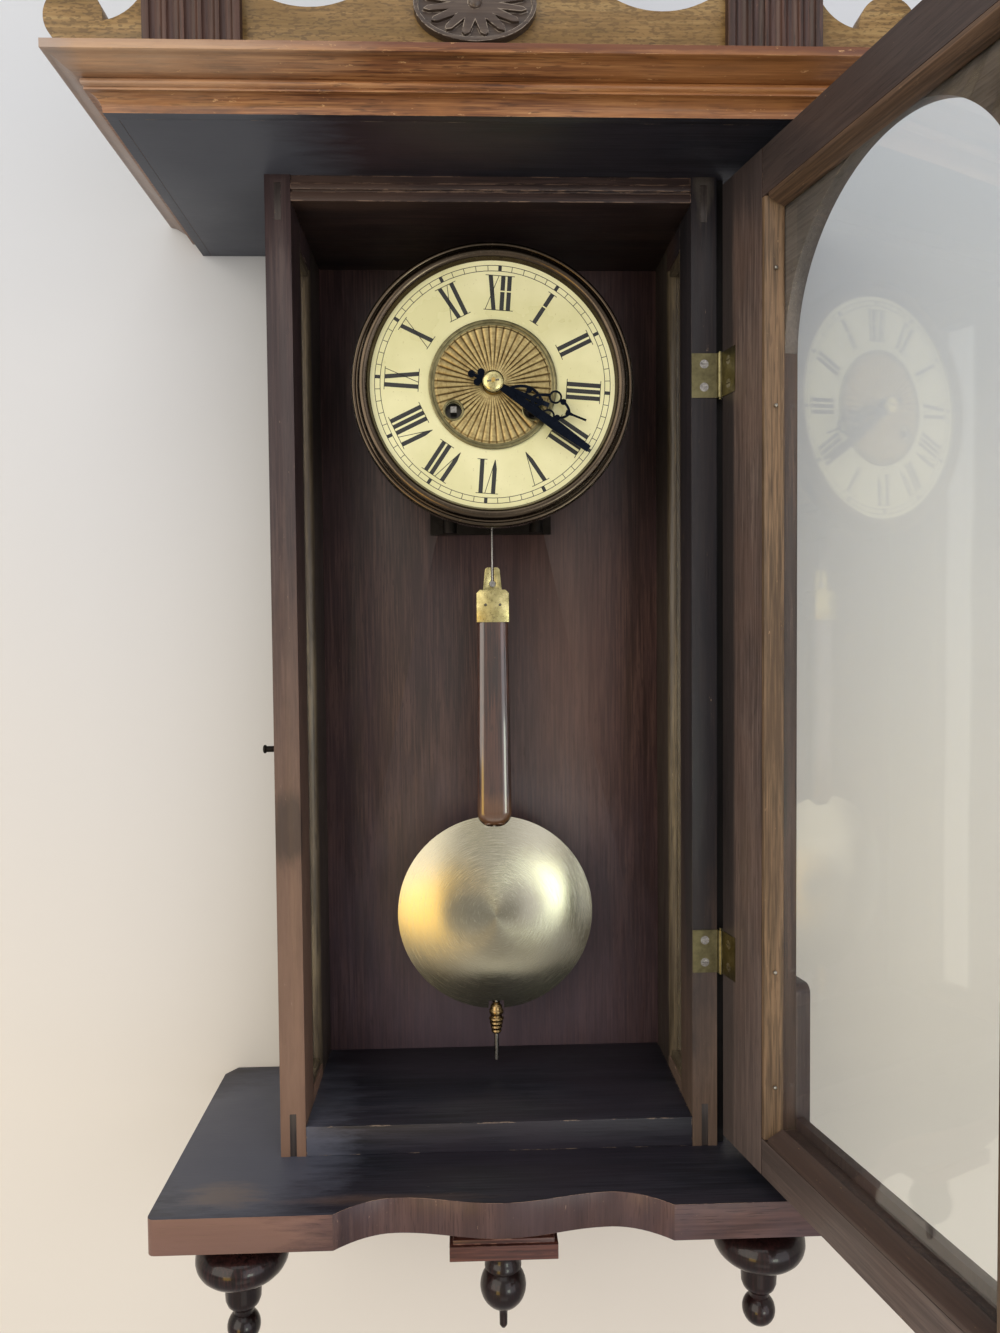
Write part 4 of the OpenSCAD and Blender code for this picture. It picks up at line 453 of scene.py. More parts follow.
def onlySelect(piece):
    bpy.ops.object.select_all(action="DESELECT")
    piece.select_set(True)
    bpy.context.view_layer.objects.active = piece


def switchTo(mode):
    bpy.ops.object.mode_set(mode=mode)


def fresh(name, adder, **sizes):
    # Adds a primitive alone in the selection and puts its place into its mesh
    bpy.ops.object.select_all(action="DESELECT")
    adder(**sizes)
    piece = bpy.context.view_layer.objects.active
    piece.name = name
    piece.data.name = name
    bpy.ops.object.transform_apply(location=True, rotation=True, scale=True)
    return piece


def selectPoints(piece, test):
    # Goes into edit mode with only the points that pass the test selected
    switchTo("EDIT")
    bpy.ops.mesh.select_mode(type="VERT")
    bpy.ops.mesh.select_all(action="DESELECT")
    switchTo("OBJECT")
    for point in piece.data.vertices:
        point.select = test(point.co)
    switchTo("EDIT")


def editAll(piece):
    # Goes into edit mode with everything selected
    onlySelect(piece)
    switchTo("EDIT")
    bpy.ops.mesh.select_all(action="SELECT")


def cleanUp(piece):
    editAll(piece)
    bpy.ops.mesh.remove_doubles(threshold=0.01 * mm)
    bpy.ops.mesh.normals_make_consistent(inside=False)
    switchTo("OBJECT")


def bake(piece, smoothAngle=35.0):
    # Applies every modifier and sets the shading
    onlySelect(piece)
    for modifier in list(piece.modifiers):
        bpy.ops.object.modifier_apply(modifier=modifier.name)
    bpy.ops.object.shade_smooth_by_angle(angle=math.radians(smoothAngle))


def soften(piece, width, segments=2, wornSlot=-1, angle=30.0):
    bevel = piece.modifiers.new("softEdges", "BEVEL")
    bevel.width = width * mm
    bevel.segments = segments
    bevel.limit_method = "ANGLE"
    bevel.angle_limit = math.radians(angle)
    bevel.use_clamp_overlap = True
    if wornSlot >= 0:
        bevel.material = wornSlot


def copyNode(nodeName, pieceName):
    # A CAD node's shape as one joined mesh, ready for bevels
    source = frame["nodes"][nodeName]
    piece = bpy.data.objects.new(pieceName, source.data.copy())
    bpy.context.scene.collection.objects.link(piece)
    piece.data.materials.clear()
    onlySelect(piece)
    if piece.data.has_custom_normals:
        bpy.ops.mesh.customdata_custom_splitnormals_clear()
    editAll(piece)
    bpy.ops.mesh.remove_doubles(threshold=0.004 * mm)
    bpy.ops.mesh.dissolve_limited(angle_limit=math.radians(1.0))
    bpy.ops.mesh.quads_convert_to_tris(quad_method="BEAUTY", ngon_method="BEAUTY")  # large faces fill badly
    switchTo("OBJECT")
    return piece


def placeCopy(piece, matrix):
    copy = bpy.data.objects.new(piece.name, piece.data.copy())
    bpy.context.scene.collection.objects.link(copy)
    copy.data.transform(matrix)
    return copy


def standFor(piece, body, slot, *nodes):
    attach(piece, body)
    if nodes:
        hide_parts(*nodes)


def cutAway(piece, cutter):
    cut = piece.modifiers.new("cut", "BOOLEAN")
    cut.operation = "DIFFERENCE"
    cut.object = cutter
    cut.solver = "EXACT"
    onlySelect(piece)
    bpy.ops.object.modifier_apply(modifier="cut")
    bpy.data.objects.remove(cutter)


def arc(across, along, start, stop, step, middle=(0.0, 0.0)):
    # Points of an ellipse with these half sizes, from one angle in degrees to another
    return [(middle[0] + across * math.cos(math.radians(a)), middle[1] + along * math.sin(math.radians(a)))
            for a in range(start, stop, step)]


def drawLine(name, points):
    # A small plane merged into one point, which is then extruded from point to point
    piece = fresh(name, bpy.ops.mesh.primitive_plane_add, size=1 * mm, location=points[0])
    editAll(piece)
    bpy.ops.mesh.merge(type="CENTER")
    for before, after in zip(points, points[1:]):
        bpy.ops.mesh.extrude_vertices_move(TRANSFORM_OT_translate={"value": tuple(after - before)})
    return piece


def turned(name, outline, base, axis, steps=64):
    # Spins an outline of (radius, distance along the axis), in millimetres, into a closed turned form
    base = Vector(base)
    along = Vector(axis).normalized()
    side = Vector((1, 0, 0)) if abs(along.x) < 0.5 else Vector((0, 0, 1))
    side = (side - along * side.dot(along)).normalized()
    piece = drawLine(name, [base + side * (r * mm) + along * (h * mm) for r, h in outline])
    bpy.ops.mesh.select_all(action="SELECT")
    bpy.ops.mesh.spin(steps=steps, angle=math.tau, center=base, axis=along)
    switchTo("OBJECT")
    cleanUp(piece)
    return piece


def joinAll(name, pieces):
    onlySelect(pieces[0])
    for other in pieces[1:]:
        other.select_set(True)
    bpy.ops.object.join()
    joined = bpy.context.view_layer.objects.active
    joined.name = name
    joined.data.name = name
    return joined


def paint(piece, *materials):
    piece.data.materials.clear()
    for material in materials:
        piece.data.materials.append(material)


def paintFaces(piece, material, test):
    # Gives the faces that pass the test a material of their own
    piece.data.materials.append(material)
    slot = len(piece.data.materials) - 1
    for face in piece.data.polygons:
        if test(face):
            face.material_index = slot


def nodeOf(pieceName):
    # The piece frontStiles stands for the CAD node front_stiles
    return "".join("_" + c.lower() if c.isupper() else c for c in pieceName)


def dress(pieceName, body, slot, materials, edge=0.0, segments=2, wornSlot=-1, smooth=35.0, node=None):
    # A copy of a CAD node with a finish of its own and soft edges
    nodeName = node or nodeOf(pieceName)
    piece = copyNode(nodeName, pieceName)
    paint(piece, *materials)
    if edge > 0:
        soften(piece, edge, segments, wornSlot)
    bake(piece, smooth)
    standFor(piece, body, slot, nodeName)
    return piece


# Boards that keep their CAD shape, each with its wood, the axis of its grain and the width of its worn edges
boardLooks = {
    "frontStiles": ("brownStile", "Z", 0.7), "rearStiles": ("innerStile", "Z", 0.5),
    "sideRails": ("brownStile", "Y", 0.4), "sideBeads": ("shadedBead", "Z", 0.3),
    "topBoard": ("headerStain", "X", 0.5), "floorBoard": ("blackStain", "X", 0.7),
    "backBoard": ("redMahogany", "Z", 0.4), "soffitBoard": ("blackStain", "X", 0.3),
    "corniceMoulding": ("fadedWalnut", "X", 0.35), "baseBoard": ("redWalnut", "X", 1.3),
    "dropBlock": ("dropMahogany", "X", 0.4), "crestBoard": ("goldenBeech", "X", 0.8),
    "crestBlocks": ("fumedOak", "Z", 0.35), "crestMedallion": ("carvedOak", "X", 0.35),
    "doorStiles": ("dullBrown", "Z", 0.7), "doorRails": ("dullBrown", "D", 0.7),
    "doorArchBoard": ("slateStain", "D", 0.4), "doorBeads": ("rawBead", "Z", 0.4),
    "doorColumns": ("darkPolish", "Z", 0.3), "doorBlocks": ("plinthStain", "Z", 0.6),
}
woodSlots = {
    "walnut": ["fadedWalnut", "redWalnut", "brownStile", "innerStile", "headerStain", "dullBrown"],
    "golden_wood": ["goldenBeech"],
    "old_oak": ["fumedOak", "carvedOak"],
    "dark_mahogany": ["redMahogany", "dropMahogany", "plinthStain", "darkPolish"],
    "stained_black": ["blackStain", "slateStain"],
    "raw_beech": ["rawBead", "shadedBead"],
}
boards = {}
for pieceName, (woodName, grain, edge) in boardLooks.items():
    finish = [wood(woodName, grain, worn) for worn in (False, True)]
    body = "door" if pieceName.startswith("door") else "case"
    slot = next(s for s, names in woodSlots.items() if woodName in names)
    boards[pieceName] = dress(pieceName, body, slot, finish, edge, wornSlot=1, smooth=30.0)
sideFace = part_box("side_rails")[1].x  # the outer face of the side frames
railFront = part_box("side_rails")[0].y
serpentineReach = 105 * mm
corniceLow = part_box("cornice_moulding")[0].z
intoDoor = doorMatrix.inverted()


def inDoor(face):
    # A face's middle and direction as if the door were shut
    return intoDoor @ face.center, intoDoor.to_3x3() @ face.normal


def looksInward(face):
    # Faces of the door that look at its opening
    middle, facing = inDoor(face)
    upright = abs(middle.x) > doorSight and facing.x * middle.x < -0.7 * abs(middle.x)
    across = abs(middle.x) < doorSight and abs(facing.z) > 0.7 and (facing.z > 0) == (middle.z < beadMiddle.z)
    return upright or across


def isCrossBead(face):
    return abs(inDoor(face)[0].x) < doorSight


def isSerpentine(face):
    # The wavy middle of the base board's front edge
    return abs(face.center.x) < serpentineReach and abs(face.normal.z) < 0.2 and face.normal.y < -0.3


def isTenon(face):
    return face.normal.y < -0.9 and abs(face.center.y - railFront) < 0.4 * mm


beadMiddle = nodeMiddle("door_beads")
doorSight = 79.0 * mm
# the strip on the outer face of the front stiles gets near-black painted shade
paintFaces(boards["frontStiles"], wood("gapShadeStrip", "Z"), lambda face: face.center.x > sideFace + 0.3 * mm)
paintFaces(boards["sideRails"], wood("tenonEnd", "Z"), isTenon)
paintFaces(boards["baseBoard"], wood("blackStain", "X"), lambda face: face.normal.z > 0.97)
paintFaces(boards["baseBoard"], wood("redWalnut", "Z"), isSerpentine)
paintFaces(boards["corniceMoulding"], wood("blackStain", "X"),
           lambda face: face.normal.z < -0.9 and face.center.z < corniceLow + 0.5 * mm)
paintFaces(boards["doorBeads"], wood("railBead", "D"), isCrossBead)
for pieceName in ("doorStiles", "doorRails"):
    paintFaces(boards[pieceName], wood("headerStain", "Z"), looksInward)
print("boards dressed:", len(boards))


# The dial: enamel pan, painted numerals and minute track, pressed brass centre and bezel

dialMiddle = nodeMiddle("dial_plate")
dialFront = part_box("dial_plate")[0].y
dialPlace = Vector((dialMiddle.x, dialFront, dialMiddle.z))
# The dial sits a little turned on its feet, by the angle called slip
dialLook = dict(
    slip=math.radians(4.1), trackOuter=71.6, trackInner=68.3, lineWidth=0.38, markWidth=2.1,
    numeralOuter=65.6, numeralInner=45.0, thick=2.6, thin=0.42, serif=1.7, paintHeight=0.05,
    crossReach=4.6, thickLean=1.5, thinLean=3.6, pointLength=5.5, pointWidth=0.12, wornRadius=56.0,
    wornHeight=0.8, wornWidth=7.4)
dress("dialPan", "case", "dial_enamel", [dialEnamel], node="dial_plate")


def paintBar(low, high, width, lowShift=0.0, highShift=0.0):
    # A thin bar at twelve o'clock: a cube whose two ends are moved sideways
    height = dialLook["paintHeight"]
    bar = fresh("paintBar", bpy.ops.mesh.primitive_cube_add, size=1.0,
                location=dialPlace + Vector((0, -height / 2 * mm, (low + high) / 2 * mm)),
                scale=(width * mm, height * mm, (high - low) * mm))
    for end, shift in ((low, lowShift), (high, highShift)):
        selectPoints(bar, lambda p: abs(p.z - dialPlace.z - end * mm) < 0.05 * mm)
        bpy.ops.transform.translate(value=(shift * mm, 0, 0))
        switchTo("OBJECT")
    return bar


def hairline(radius, left, right):
    half = dialLook["thin"] / 2
    line = paintBar(radius - half, radius + half, right - left)
    line.data.transform(Matrix.Translation(((left + right) / 2 * mm, 0, 0)))
    return line


def letterI():
    low, high, thick = dialLook["numeralInner"], dialLook["numeralOuter"], dialLook["thick"]
    reach = thick / 2 + dialLook["serif"]
    return [paintBar(low, high, thick), hairline(low, -reach, reach), hairline(high, -reach, reach)]


def letterX():
    low, high, reach = dialLook["numeralInner"], dialLook["numeralOuter"], dialLook["crossReach"]
    thick, thin = dialLook["thickLean"], dialLook["thinLean"]
    return [paintBar(low, high, dialLook["thick"], thick, -thick),
            paintBar(low, high, dialLook["thin"], -thin, thin),
            hairline(low, -reach, reach), hairline(high, -reach, reach)]


def letterV(tip, thickEnd, thinEnd):
    # The thick stroke runs out to a point on the inner side
    low, high, thick = dialLook["numeralInner"], dialLook["numeralOuter"], dialLook["thick"]
    foot = low + dialLook["pointLength"]
    footShift = tip + (thickEnd - tip) * (foot - low) / (high - low)
    stroke = paintBar(foot, high, thick, footShift, thickEnd)
    selectPoints(stroke, lambda p: abs(p.z - dialPlace.z - foot * mm) < 0.05 * mm)
    bpy.ops.mesh.extrude_region_move(TRANSFORM_OT_translate={"value": ((tip - footShift) * mm, 0,
                                                                       (low - foot) * mm)})
    bpy.ops.transform.resize(value=(dialLook["pointWidth"], 1, 1),
                             center_override=dialPlace + Vector((tip * mm, 0, low * mm)))
    switchTo("OBJECT")
    return [stroke, paintBar(low, high, dialLook["thin"], tip, thinEnd),
            hairline(high, thickEnd - thick / 2 - dialLook["serif"], thinEnd + dialLook["serif"])]


letters = {
    "I": (joinAll("letterI", letterI()), 3.9),
    "X": (joinAll("letterX", letterX()), 8.6),
    "V": (joinAll("letterV", letterV(-2.4, -2.2, 2.8)), 7.0),
    "W": (joinAll("letterWideV", letterV(0.0, -2.9, 4.0)), 7.2),  # the V that stands alone
}
aboutDial = [Matrix.Translation(dialPlace), Matrix.Translation(-dialPlace)]


def turnedOnDial(piece, sideways, angle):
    turn = Matrix.Rotation(angle + dialLook["slip"], 4, "Y")
    return placeCopy(piece, aboutDial[0] @ turn @ aboutDial[1] @ Matrix.Translation((sideways * mm, 0, 0)))


painted = []
for hour, text in enumerate(["XII", "I", "II", "III", "IIII", "W", "VI", "VII", "VIII", "IX", "X", "XI"]):
    x = -sum(letters[letter][1] for letter in text) / 2
    for letter in text:
        shape, width = letters[letter]
        painted.append(turnedOnDial(shape, x + width / 2, math.radians(30 * hour)))
        x += width
hourMark = paintBar(dialLook["trackInner"], dialLook["trackOuter"], dialLook["markWidth"])
minuteMark = paintBar(dialLook["trackInner"], dialLook["trackOuter"], dialLook["lineWidth"])
for minute in range(60):
    painted.append(turnedOnDial(minuteMark if minute % 5 else hourMark, 0.0, math.radians(6 * minute)))
for radius in (dialLook["trackInner"], dialLook["trackOuter"]):
    half = dialLook["lineWidth"] / 2
    height = dialLook["paintHeight"]
    painted.append(turned("trackLine", [(radius - half, 0), (radius - half, height), (radius + half, height),
                                        (radius + half, 0)], dialPlace, (0, -1, 0), 96))
wornBar = paintBar(dialLook["wornRadius"], dialLook["wornRadius"] + dialLook["wornHeight"],
                   dialLook["wornWidth"])
wornBar.data.transform(Matrix.Translation((0, -0.01 * mm, 0)))
wornSpots = joinAll("wornSpots", [turnedOnDial(wornBar, shift, math.radians(angle))
                                  for shift, angle in ((4.5, 0), (0, 30))])
for pattern in [shape for shape, width in letters.values()] + [hourMark, minuteMark, wornBar]:
    bpy.data.objects.remove(pattern)
dialMarks = joinAll("dialMarks", painted)
paint(dialMarks, dialPaint)
standFor(dialMarks, "case", "stained_black")
paint(wornSpots, dialEnamel)
standFor(wornSpots, "case", "dial_enamel")

centreLook = dict(
    ribs=48, ribEnd=34.9, ribStart=6.5, depth=0.6, height=1.2, beside=0.22, slope=10.0,
    edgeShare=1.2, sheet=0.4, holeRadius=5.3, eyeletRadius=6.6)
holePlaces = [nodeMiddle(n) for n in ("time_winder", "strike_winder")]


def sunburst():
    # A circle extruded outwards ring by ring, then pushed back along the grooves between the ribs
    steps = centreLook["ribs"] * 4
    radii = [centreLook["ribStart"], 9.0, 13.0, 18.0, 24.0, 30.0, 34.0, centreLook["ribEnd"], 36.0]
    start = dialPlace - Vector((0, centreLook["height"] * mm, 0))
    disc = fresh("dialSunburst", bpy.ops.mesh.primitive_circle_add, vertices=steps, radius=radii[0] * mm,
                 location=start, rotation=(math.pi / 2, 0, 0))
    editAll(disc)
    for before, after in zip(radii, radii[1:]):
        bpy.ops.mesh.extrude_region_move(TRANSFORM_OT_translate={"value": (0, 0, 0)})
        bpy.ops.transform.resize(value=(after / before, 1, after / before), center_override=start)
    switchTo("OBJECT")
    for radius in radii:
        for phase, share in ((0, 1.0), (1, centreLook["beside"])):
            deep = centreLook["depth"] * share * min(1.0, (radius - radii[0]) / centreLook["slope"])
            if radius > centreLook["ribEnd"] - 0.1:
                deep = centreLook["depth"] * centreLook["edgeShare"]

            def isGroove(point):
                angle = math.atan2(point.x - start.x, point.z - start.z) / math.tau * steps
                ahead = round(angle) % 4
                onRing = abs(math.hypot(point.x - start.x, point.z - start.z) - radius * mm) < 0.2 * mm
                return onRing and (min(ahead, 4 - ahead) == phase or radius > centreLook["ribEnd"] - 0.1)

            if deep > 0 and not (phase and radius > centreLook["ribEnd"] - 0.1):
                selectPoints(disc, isGroove)
                bpy.ops.transform.translate(value=(0, deep * mm, 0))
                switchTo("OBJECT")
    disc.data.transform(aboutDial[0] @ Matrix.Rotation(dialLook["slip"], 4, "Y") @ aboutDial[1])
    cleanUp(disc)
    sheet = disc.modifiers.new("sheet", "SOLIDIFY")
    sheet.thickness = centreLook["sheet"] * mm
    sheet.offset = 0.0
    bpy.ops.object.modifier_apply(modifier="sheet")
    for place in holePlaces:
        cutAway(disc, fresh("holeCutter", bpy.ops.mesh.primitive_cylinder_add, vertices=40,
                            radius=centreLook["holeRadius"] * mm, depth=20 * mm,
                            location=(place.x, dialFront, place.z), rotation=(math.pi / 2, 0, 0)))
    return disc


pressedBrass = brushedMaterial("pressedBrass", dialPlace, dict(
    sweepMm=1.2, markMm=0.9, dark="#8B7B52", light="#A8996E", tarnishMm=2.2, tarnishShare=0.55,
    tarnish="#6A5636", rough=0.42, bump=0.5, stretch=0.2, ribs=centreLook["ribs"], slip=dialLook["slip"],
    groove="#4C3A20"))
dialSunburst = sunburst()
paint(dialSunburst, pressedBrass)
bake(dialSunburst, 20.0)
rimOutline = [(35.4, 0.0), (35.6, 0.9), (36.2, 1.15), (36.9, 1.0)]
rimOutline += arc(-1.1, 0.5, 20, 161, 20, (38.0, 1.0))
rimOutline += [(39.0, 0.5), (39.0, 0.0), (35.4, 0.0)]
centreParts = [turned("centreRim", rimOutline, dialPlace, (0, -1, 0), 96)]
eyeletIn = centreLook["holeRadius"] - 0.3
eyeletOutline = [(eyeletIn, 0.2), (eyeletIn, 1.15)] + arc(-0.8, 0.35, 0, 181, 30, (5.8, 1.15))
eyeletOutline += [(centreLook["eyeletRadius"], 0.2), (eyeletIn, 0.2)]
for place in holePlaces:
    centreParts.append(turned("eyelet", eyeletOutline, (place.x, dialFront, place.z), (0, -1, 0), 40))
centreRim = joinAll("centreRim", centreParts)
paint(centreRim, metals["agedBrass"])
bake(centreRim, 40.0)
standFor(dialSunburst, "case", "brass", "dial_centre")
standFor(centreRim, "case", "brass")

bezelLow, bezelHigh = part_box("dial_bezel")
bezelRadius = (bezelHigh.x - bezelLow.x) / 2 / mm
bezelDepth = (bezelHigh.y - bezelLow.y) / mm
bezelLook = dict(lip=73.2, rollMiddle=78.6, rollRadius=3.3, groove=82.1, rimRadius=1.5)


def bezelOutline():
    # From the back edge over the outer bead, the groove and the broad roll down to the dial
    outer = bezelRadius
    top = bezelDepth - bezelLook["rollRadius"]
    points = [(outer - 1.4, 0.0), (outer, 0.0), (outer, top - 3.4)]
    rim, roll, lip = bezelLook["rimRadius"], bezelLook["rollRadius"], bezelLook["lip"]
    points += arc(rim * 1.1, rim * 1.2, 0, 166, 15, (outer - 0.3 - rim, top - 2.6))
    points += [(bezelLook["groove"] + 0.8, top - 1.6), (bezelLook["groove"], top - 1.2)]
    points += arc(roll, roll, 0, 171, 10, (bezelLook["rollMiddle"], top - 0.1))
    points += [(lip + 0.9, top - 2.6), (lip, top - 3.4), (lip, top - 4.0), (75.0, top - 3.6),
               (outer - 1.4, top - 3.8), (outer - 1.4, 0.0)]
    return points


bezelBase = Vector((dialPlace.x, bezelHigh.y, dialPlace.z))
dialBezel = turned("dialBezel", bezelOutline(), bezelBase, (0, -1, 0), 192)
paint(dialBezel, metals["bezelBrass"])
bake(dialBezel, 40.0)
standFor(dialBezel, "case", "brass", "dial_bezel")
print("dial painted")


# The hands and the nut that holds them

for pieceName, body in (("minuteHand", "minute_work"), ("hourHand", "hour_work")):
    dress(pieceName, body, "blued_steel", [metals["bluedSteel"]], 0.12, 1)

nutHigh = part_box("hand_nut")[1]
nutLook = dict(radius=6.2, edge=0.9, dome=1.4, bossRadius=1.3)
nutRadius = nutLook["radius"]
nutOutline = [(0.0, 0.0), (nutRadius, 0.0), (nutRadius + 0.2, 0.3), (nutRadius + 0.2, nutLook["edge"])]
nutOutline += arc(nutRadius, nutLook["dome"], 10, 81, 10, (0.0, nutLook["edge"]))
nutOutline += [(nutLook["bossRadius"], 2.3), (nutLook["bossRadius"], 3.0), (0.9, 3.2), (0.0, 3.2)]
handNut = turned("handNut", nutOutline, (dialPlace.x, nutHigh.y, dialPlace.z), (0, -1, 0), 48)
taperPin = turned("taperPin", [(0.0, 0.0), (0.32, 0.0), (0.45, 7.4), (0.0, 7.4)],
                  (dialPlace.x - 3.9 * mm, nutHigh.y - 2.75 * mm, dialPlace.z - 0.5 * mm), (1, 0, 0.12), 12)
paint(handNut, metals["paleBrass"])
paint(taperPin, metals["springSteel"])
handNut = joinAll("handNut", [handNut, taperPin])
bake(handNut)
standFor(handNut, "minute_work", "bright_brass", "hand_nut")
print("hands made")


# The pendulum: brushed bob, brass cap and nut, polished stick

bobLow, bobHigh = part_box("pendulum_bob")
stickLow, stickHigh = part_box("pendulum_stick")
bobLook = dict(
    radius=(bobHigh.x - bobLow.x) / 2 / mm, half=(bobHigh.y - bobLow.y) / 2 / mm, rim=1.0, slack=0.35,
    nutWidth=10.4, nutRise=5.6)
bobMiddle = Vector(((bobLow.x + bobHigh.x) / 2, (bobLow.y + bobHigh.y) / 2,
                    bobLow.z + bobLook["radius"] * mm))
bobBrass = brushedMaterial("spunBrass", bobMiddle, dict(
    sweepMm=1.0, markMm=0.35, dark="#8D8978", light="#9E9B8A", tarnishMm=34.0, tarnishShare=0.4,
    tarnish="#8F896F", rough=0.21, bump=0.05, stretch=0.75))
stickLook = dict(endRound=9.5, sideRound=8.0, taper=0.86)


def bobOutline():
    # A shallow dome on each side of a thin rim
    bulge = bobLook["half"] - bobLook["rim"]
    ball = (bobLook["radius"] ** 2 + bulge ** 2) / (2 * bulge)
    lean = math.asin(bobLook["radius"] / ball)
    front = [(ball * math.sin(lean * i / 18), bobLook["half"] - ball + ball * math.cos(lean * i / 18))
             for i in range(18, -1, -1)]
    back = [(r, -h) for r, h in reversed(front)]
    return back + front


def roundedBar(name, low, high, endRound):
    # A cube with the two corners at its foot rounded off in edit mode
    bar = fresh(name, bpy.ops.mesh.primitive_cube_add, size=1.0, location=(low + high) / 2, scale=high - low)
    selectPoints(bar, lambda p: p.z < low.z + 0.1 * mm)
    bpy.ops.mesh.select_mode(type="EDGE")
    switchTo("OBJECT")
    for edge in bar.data.edges:
        a, b = [bar.data.vertices[i].co for i in edge.vertices]
        edge.select = max(a.z, b.z) < low.z + 0.1 * mm and abs(a.x - b.x) < 0.1 * mm
    switchTo("EDIT")
    bpy.ops.mesh.bevel(offset=endRound * mm, segments=10)
    switchTo("OBJECT")
    return bar


pendulumBob = turned("pendulumBob", bobOutline(), bobMiddle, (0, -1, 0), 128)
slack = Vector((bobLook["slack"], 8, bobLook["slack"])) * mm
cutAway(pendulumBob, roundedBar("notch", stickLow - slack, stickHigh + slack,
                                stickLook["endRound"] + bobLook["slack"]))
cutAway(pendulumBob, fresh("nutNotch", bpy.ops.mesh.primitive_cube_add, size=1.0,
                           location=(bobMiddle.x, bobMiddle.y, bobMiddle.z - bobLook["radius"] * mm),
                           scale=(bobLook["nutWidth"] * mm, 40 * mm, 2 * bobLook["nutRise"] * mm)))
paint(pendulumBob, bobBrass)
bake(pendulumBob, 25.0)
standFor(pendulumBob, "pendulum", "bright_brass", "pendulum_bob")

# The stick is rounded while it is as thick as it is wide, then flattened to its real thickness
stickMiddle = (stickLow + stickHigh) / 2
stickWide = stickHigh.x - stickLow.x
thicker = Vector((0, (stickWide - (stickHigh.y - stickLow.y)) / 2, 0))
pendulumStick = roundedBar("pendulumStick", stickLow - thicker, stickHigh + thicker, stickLook["endRound"])
soften(pendulumStick, stickLook["sideRound"], 8, angle=50.0)
bake(pendulumStick)
editAll(pendulumStick)
bpy.ops.transform.resize(value=(1, (stickHigh.y - stickLow.y) / stickWide, 1), center_override=stickMiddle)
switchTo("OBJECT")
selectPoints(pendulumStick, lambda p: p.z > stickMiddle.z)
bpy.ops.transform.resize(value=(stickLook["taper"], 1, 1), center_override=stickMiddle)
switchTo("OBJECT")
paint(pendulumStick, wood("stickWood", "Z"))
bake(pendulumStick, 50.0)
standFor(pendulumStick, "pendulum", "walnut", "pendulum_stick")

dress("pendulumCap", "pendulum", "brass", [metals["capBrass"]], 1.2)
dress("pendulumLeader", "pendulum", "steel", [metals["springSteel"]])
dress("ratingRod", "pendulum", "steel", [metals["springSteel"]])
dress("ratingNut", "nut", "bright_brass", [metals["nutBronze"]], 0.15, smooth=30.0)
print("pendulum hung")


# Turned finials under the base

dress("bottomFinials", "case", "dark_mahogany", [wood("darkPolish", "Z")], smooth=40.0)


# Small nails: modelled once, then copied onto the door beads and the pendulum cap

nailLook = dict(
    radius=1.0, height=0.5, beadSide=81.6, beadFace=-128.0, beadHeights=(-108.8, -182.5, -493.9, -558.7),
    capSide=4.8, capDrop=11.5)
nailOutline = [(0.0, -0.8), (nailLook["radius"], -0.8), (nailLook["radius"], 0.0)]
nailOutline += arc(nailLook["radius"], nailLook["height"], 20, 81, 20) + [(0.0, nailLook["height"])]
nail = turned("nail", nailOutline, (0, 0, 0), (0, 1, 0), 16)
paint(nail, metals["screwSteel"])
bake(nail, 50.0)
beadNails = []
for side in (-1, 1):
    for height in nailLook["beadHeights"]:
        place = Vector((side * nailLook["beadSide"], nailLook["beadFace"], height)) * mm
        turn = Matrix.Rotation(side * math.pi / 2, 4, "Z")
        beadNails.append(placeCopy(nail, doorMatrix @ Matrix.Translation(place) @ turn))
beadNails = joinAll("beadNails", beadNails)
standFor(beadNails, "door", "steel")
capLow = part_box("pendulum_cap")[0]
capMiddle = nodeMiddle("pendulum_cap")
capNails = joinAll("capNails", [placeCopy(nail, Matrix.Translation(
    (capMiddle.x + side * nailLook["capSide"] * mm, capLow.y + 0.1 * mm, capLow.z + nailLook["capDrop"] * mm))
    @ Matrix.Rotation(math.pi, 4, "Z")) for side in (-1, 1)])
paint(capNails, metals["windingSteel"])
standFor(capNails, "pendulum", "steel")
bpy.data.objects.remove(nail)


# Metal and glass that keep their CAD node

nodeMetals = {
    "agedBrass": ["hinge_case_leaves", "hinge_door_leaves", "hanger_plate", "door_hook"],
    "platesBrass": ["back_plate", "front_plate", "suspension_cock", "centre_wheel", "hour_wheel",
                    "minute_wheel", "third_wheel", "escape_wheel", "time_barrel", "strike_barrel",
                    "pin_wheel"],
    "springSteel": ["cannon_pinion", "anchor", "gong_hammer"],
    "screwSteel": ["door_screws"],
    "blackIron": ["movement_bracket", "gong", "catch_peg"],
}
for metalName, nodeNames in nodeMetals.items():
    for nodeName in nodeNames:
        paint(frame["nodes"][nodeName], metals[metalName])
for nodeName in ("side_glasses", "door_glass"):
    paint(frame["nodes"][nodeName], windowGlass)
for pieceName, body in (("timeWinder", "time_key"), ("strikeWinder", "strike_key")):
    winder = dress(pieceName, body, "steel", [metals["windingSteel"]])
    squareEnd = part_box(nodeOf(pieceName))[0].y + 0.5 * mm
    paintFaces(winder, metals["springSteel"], lambda face: face.center.y < squareEnd)
shadedScrewReach = 60 * mm  # the two screws under the movement, given black iron as painted shade under the bezel
caseScrews = dress("caseScrews", "case", "steel", [metals["screwSteel"]])
paintFaces(caseScrews, metals["blackIron"], lambda face: abs(face.center.x) < shadedScrewReach)
print("metal and glass dressed")


# Stage: a pale wall and floor

stageLook = dict(
    wallTop="#CCCFD0", wallLow="#E0D8C8", floor="#DAD5CC", floorDrop=1.35, size=8.0, unevenMm=625.0,
    uneven=0.3, lowEnd=-0.45, topEnd=0.2)


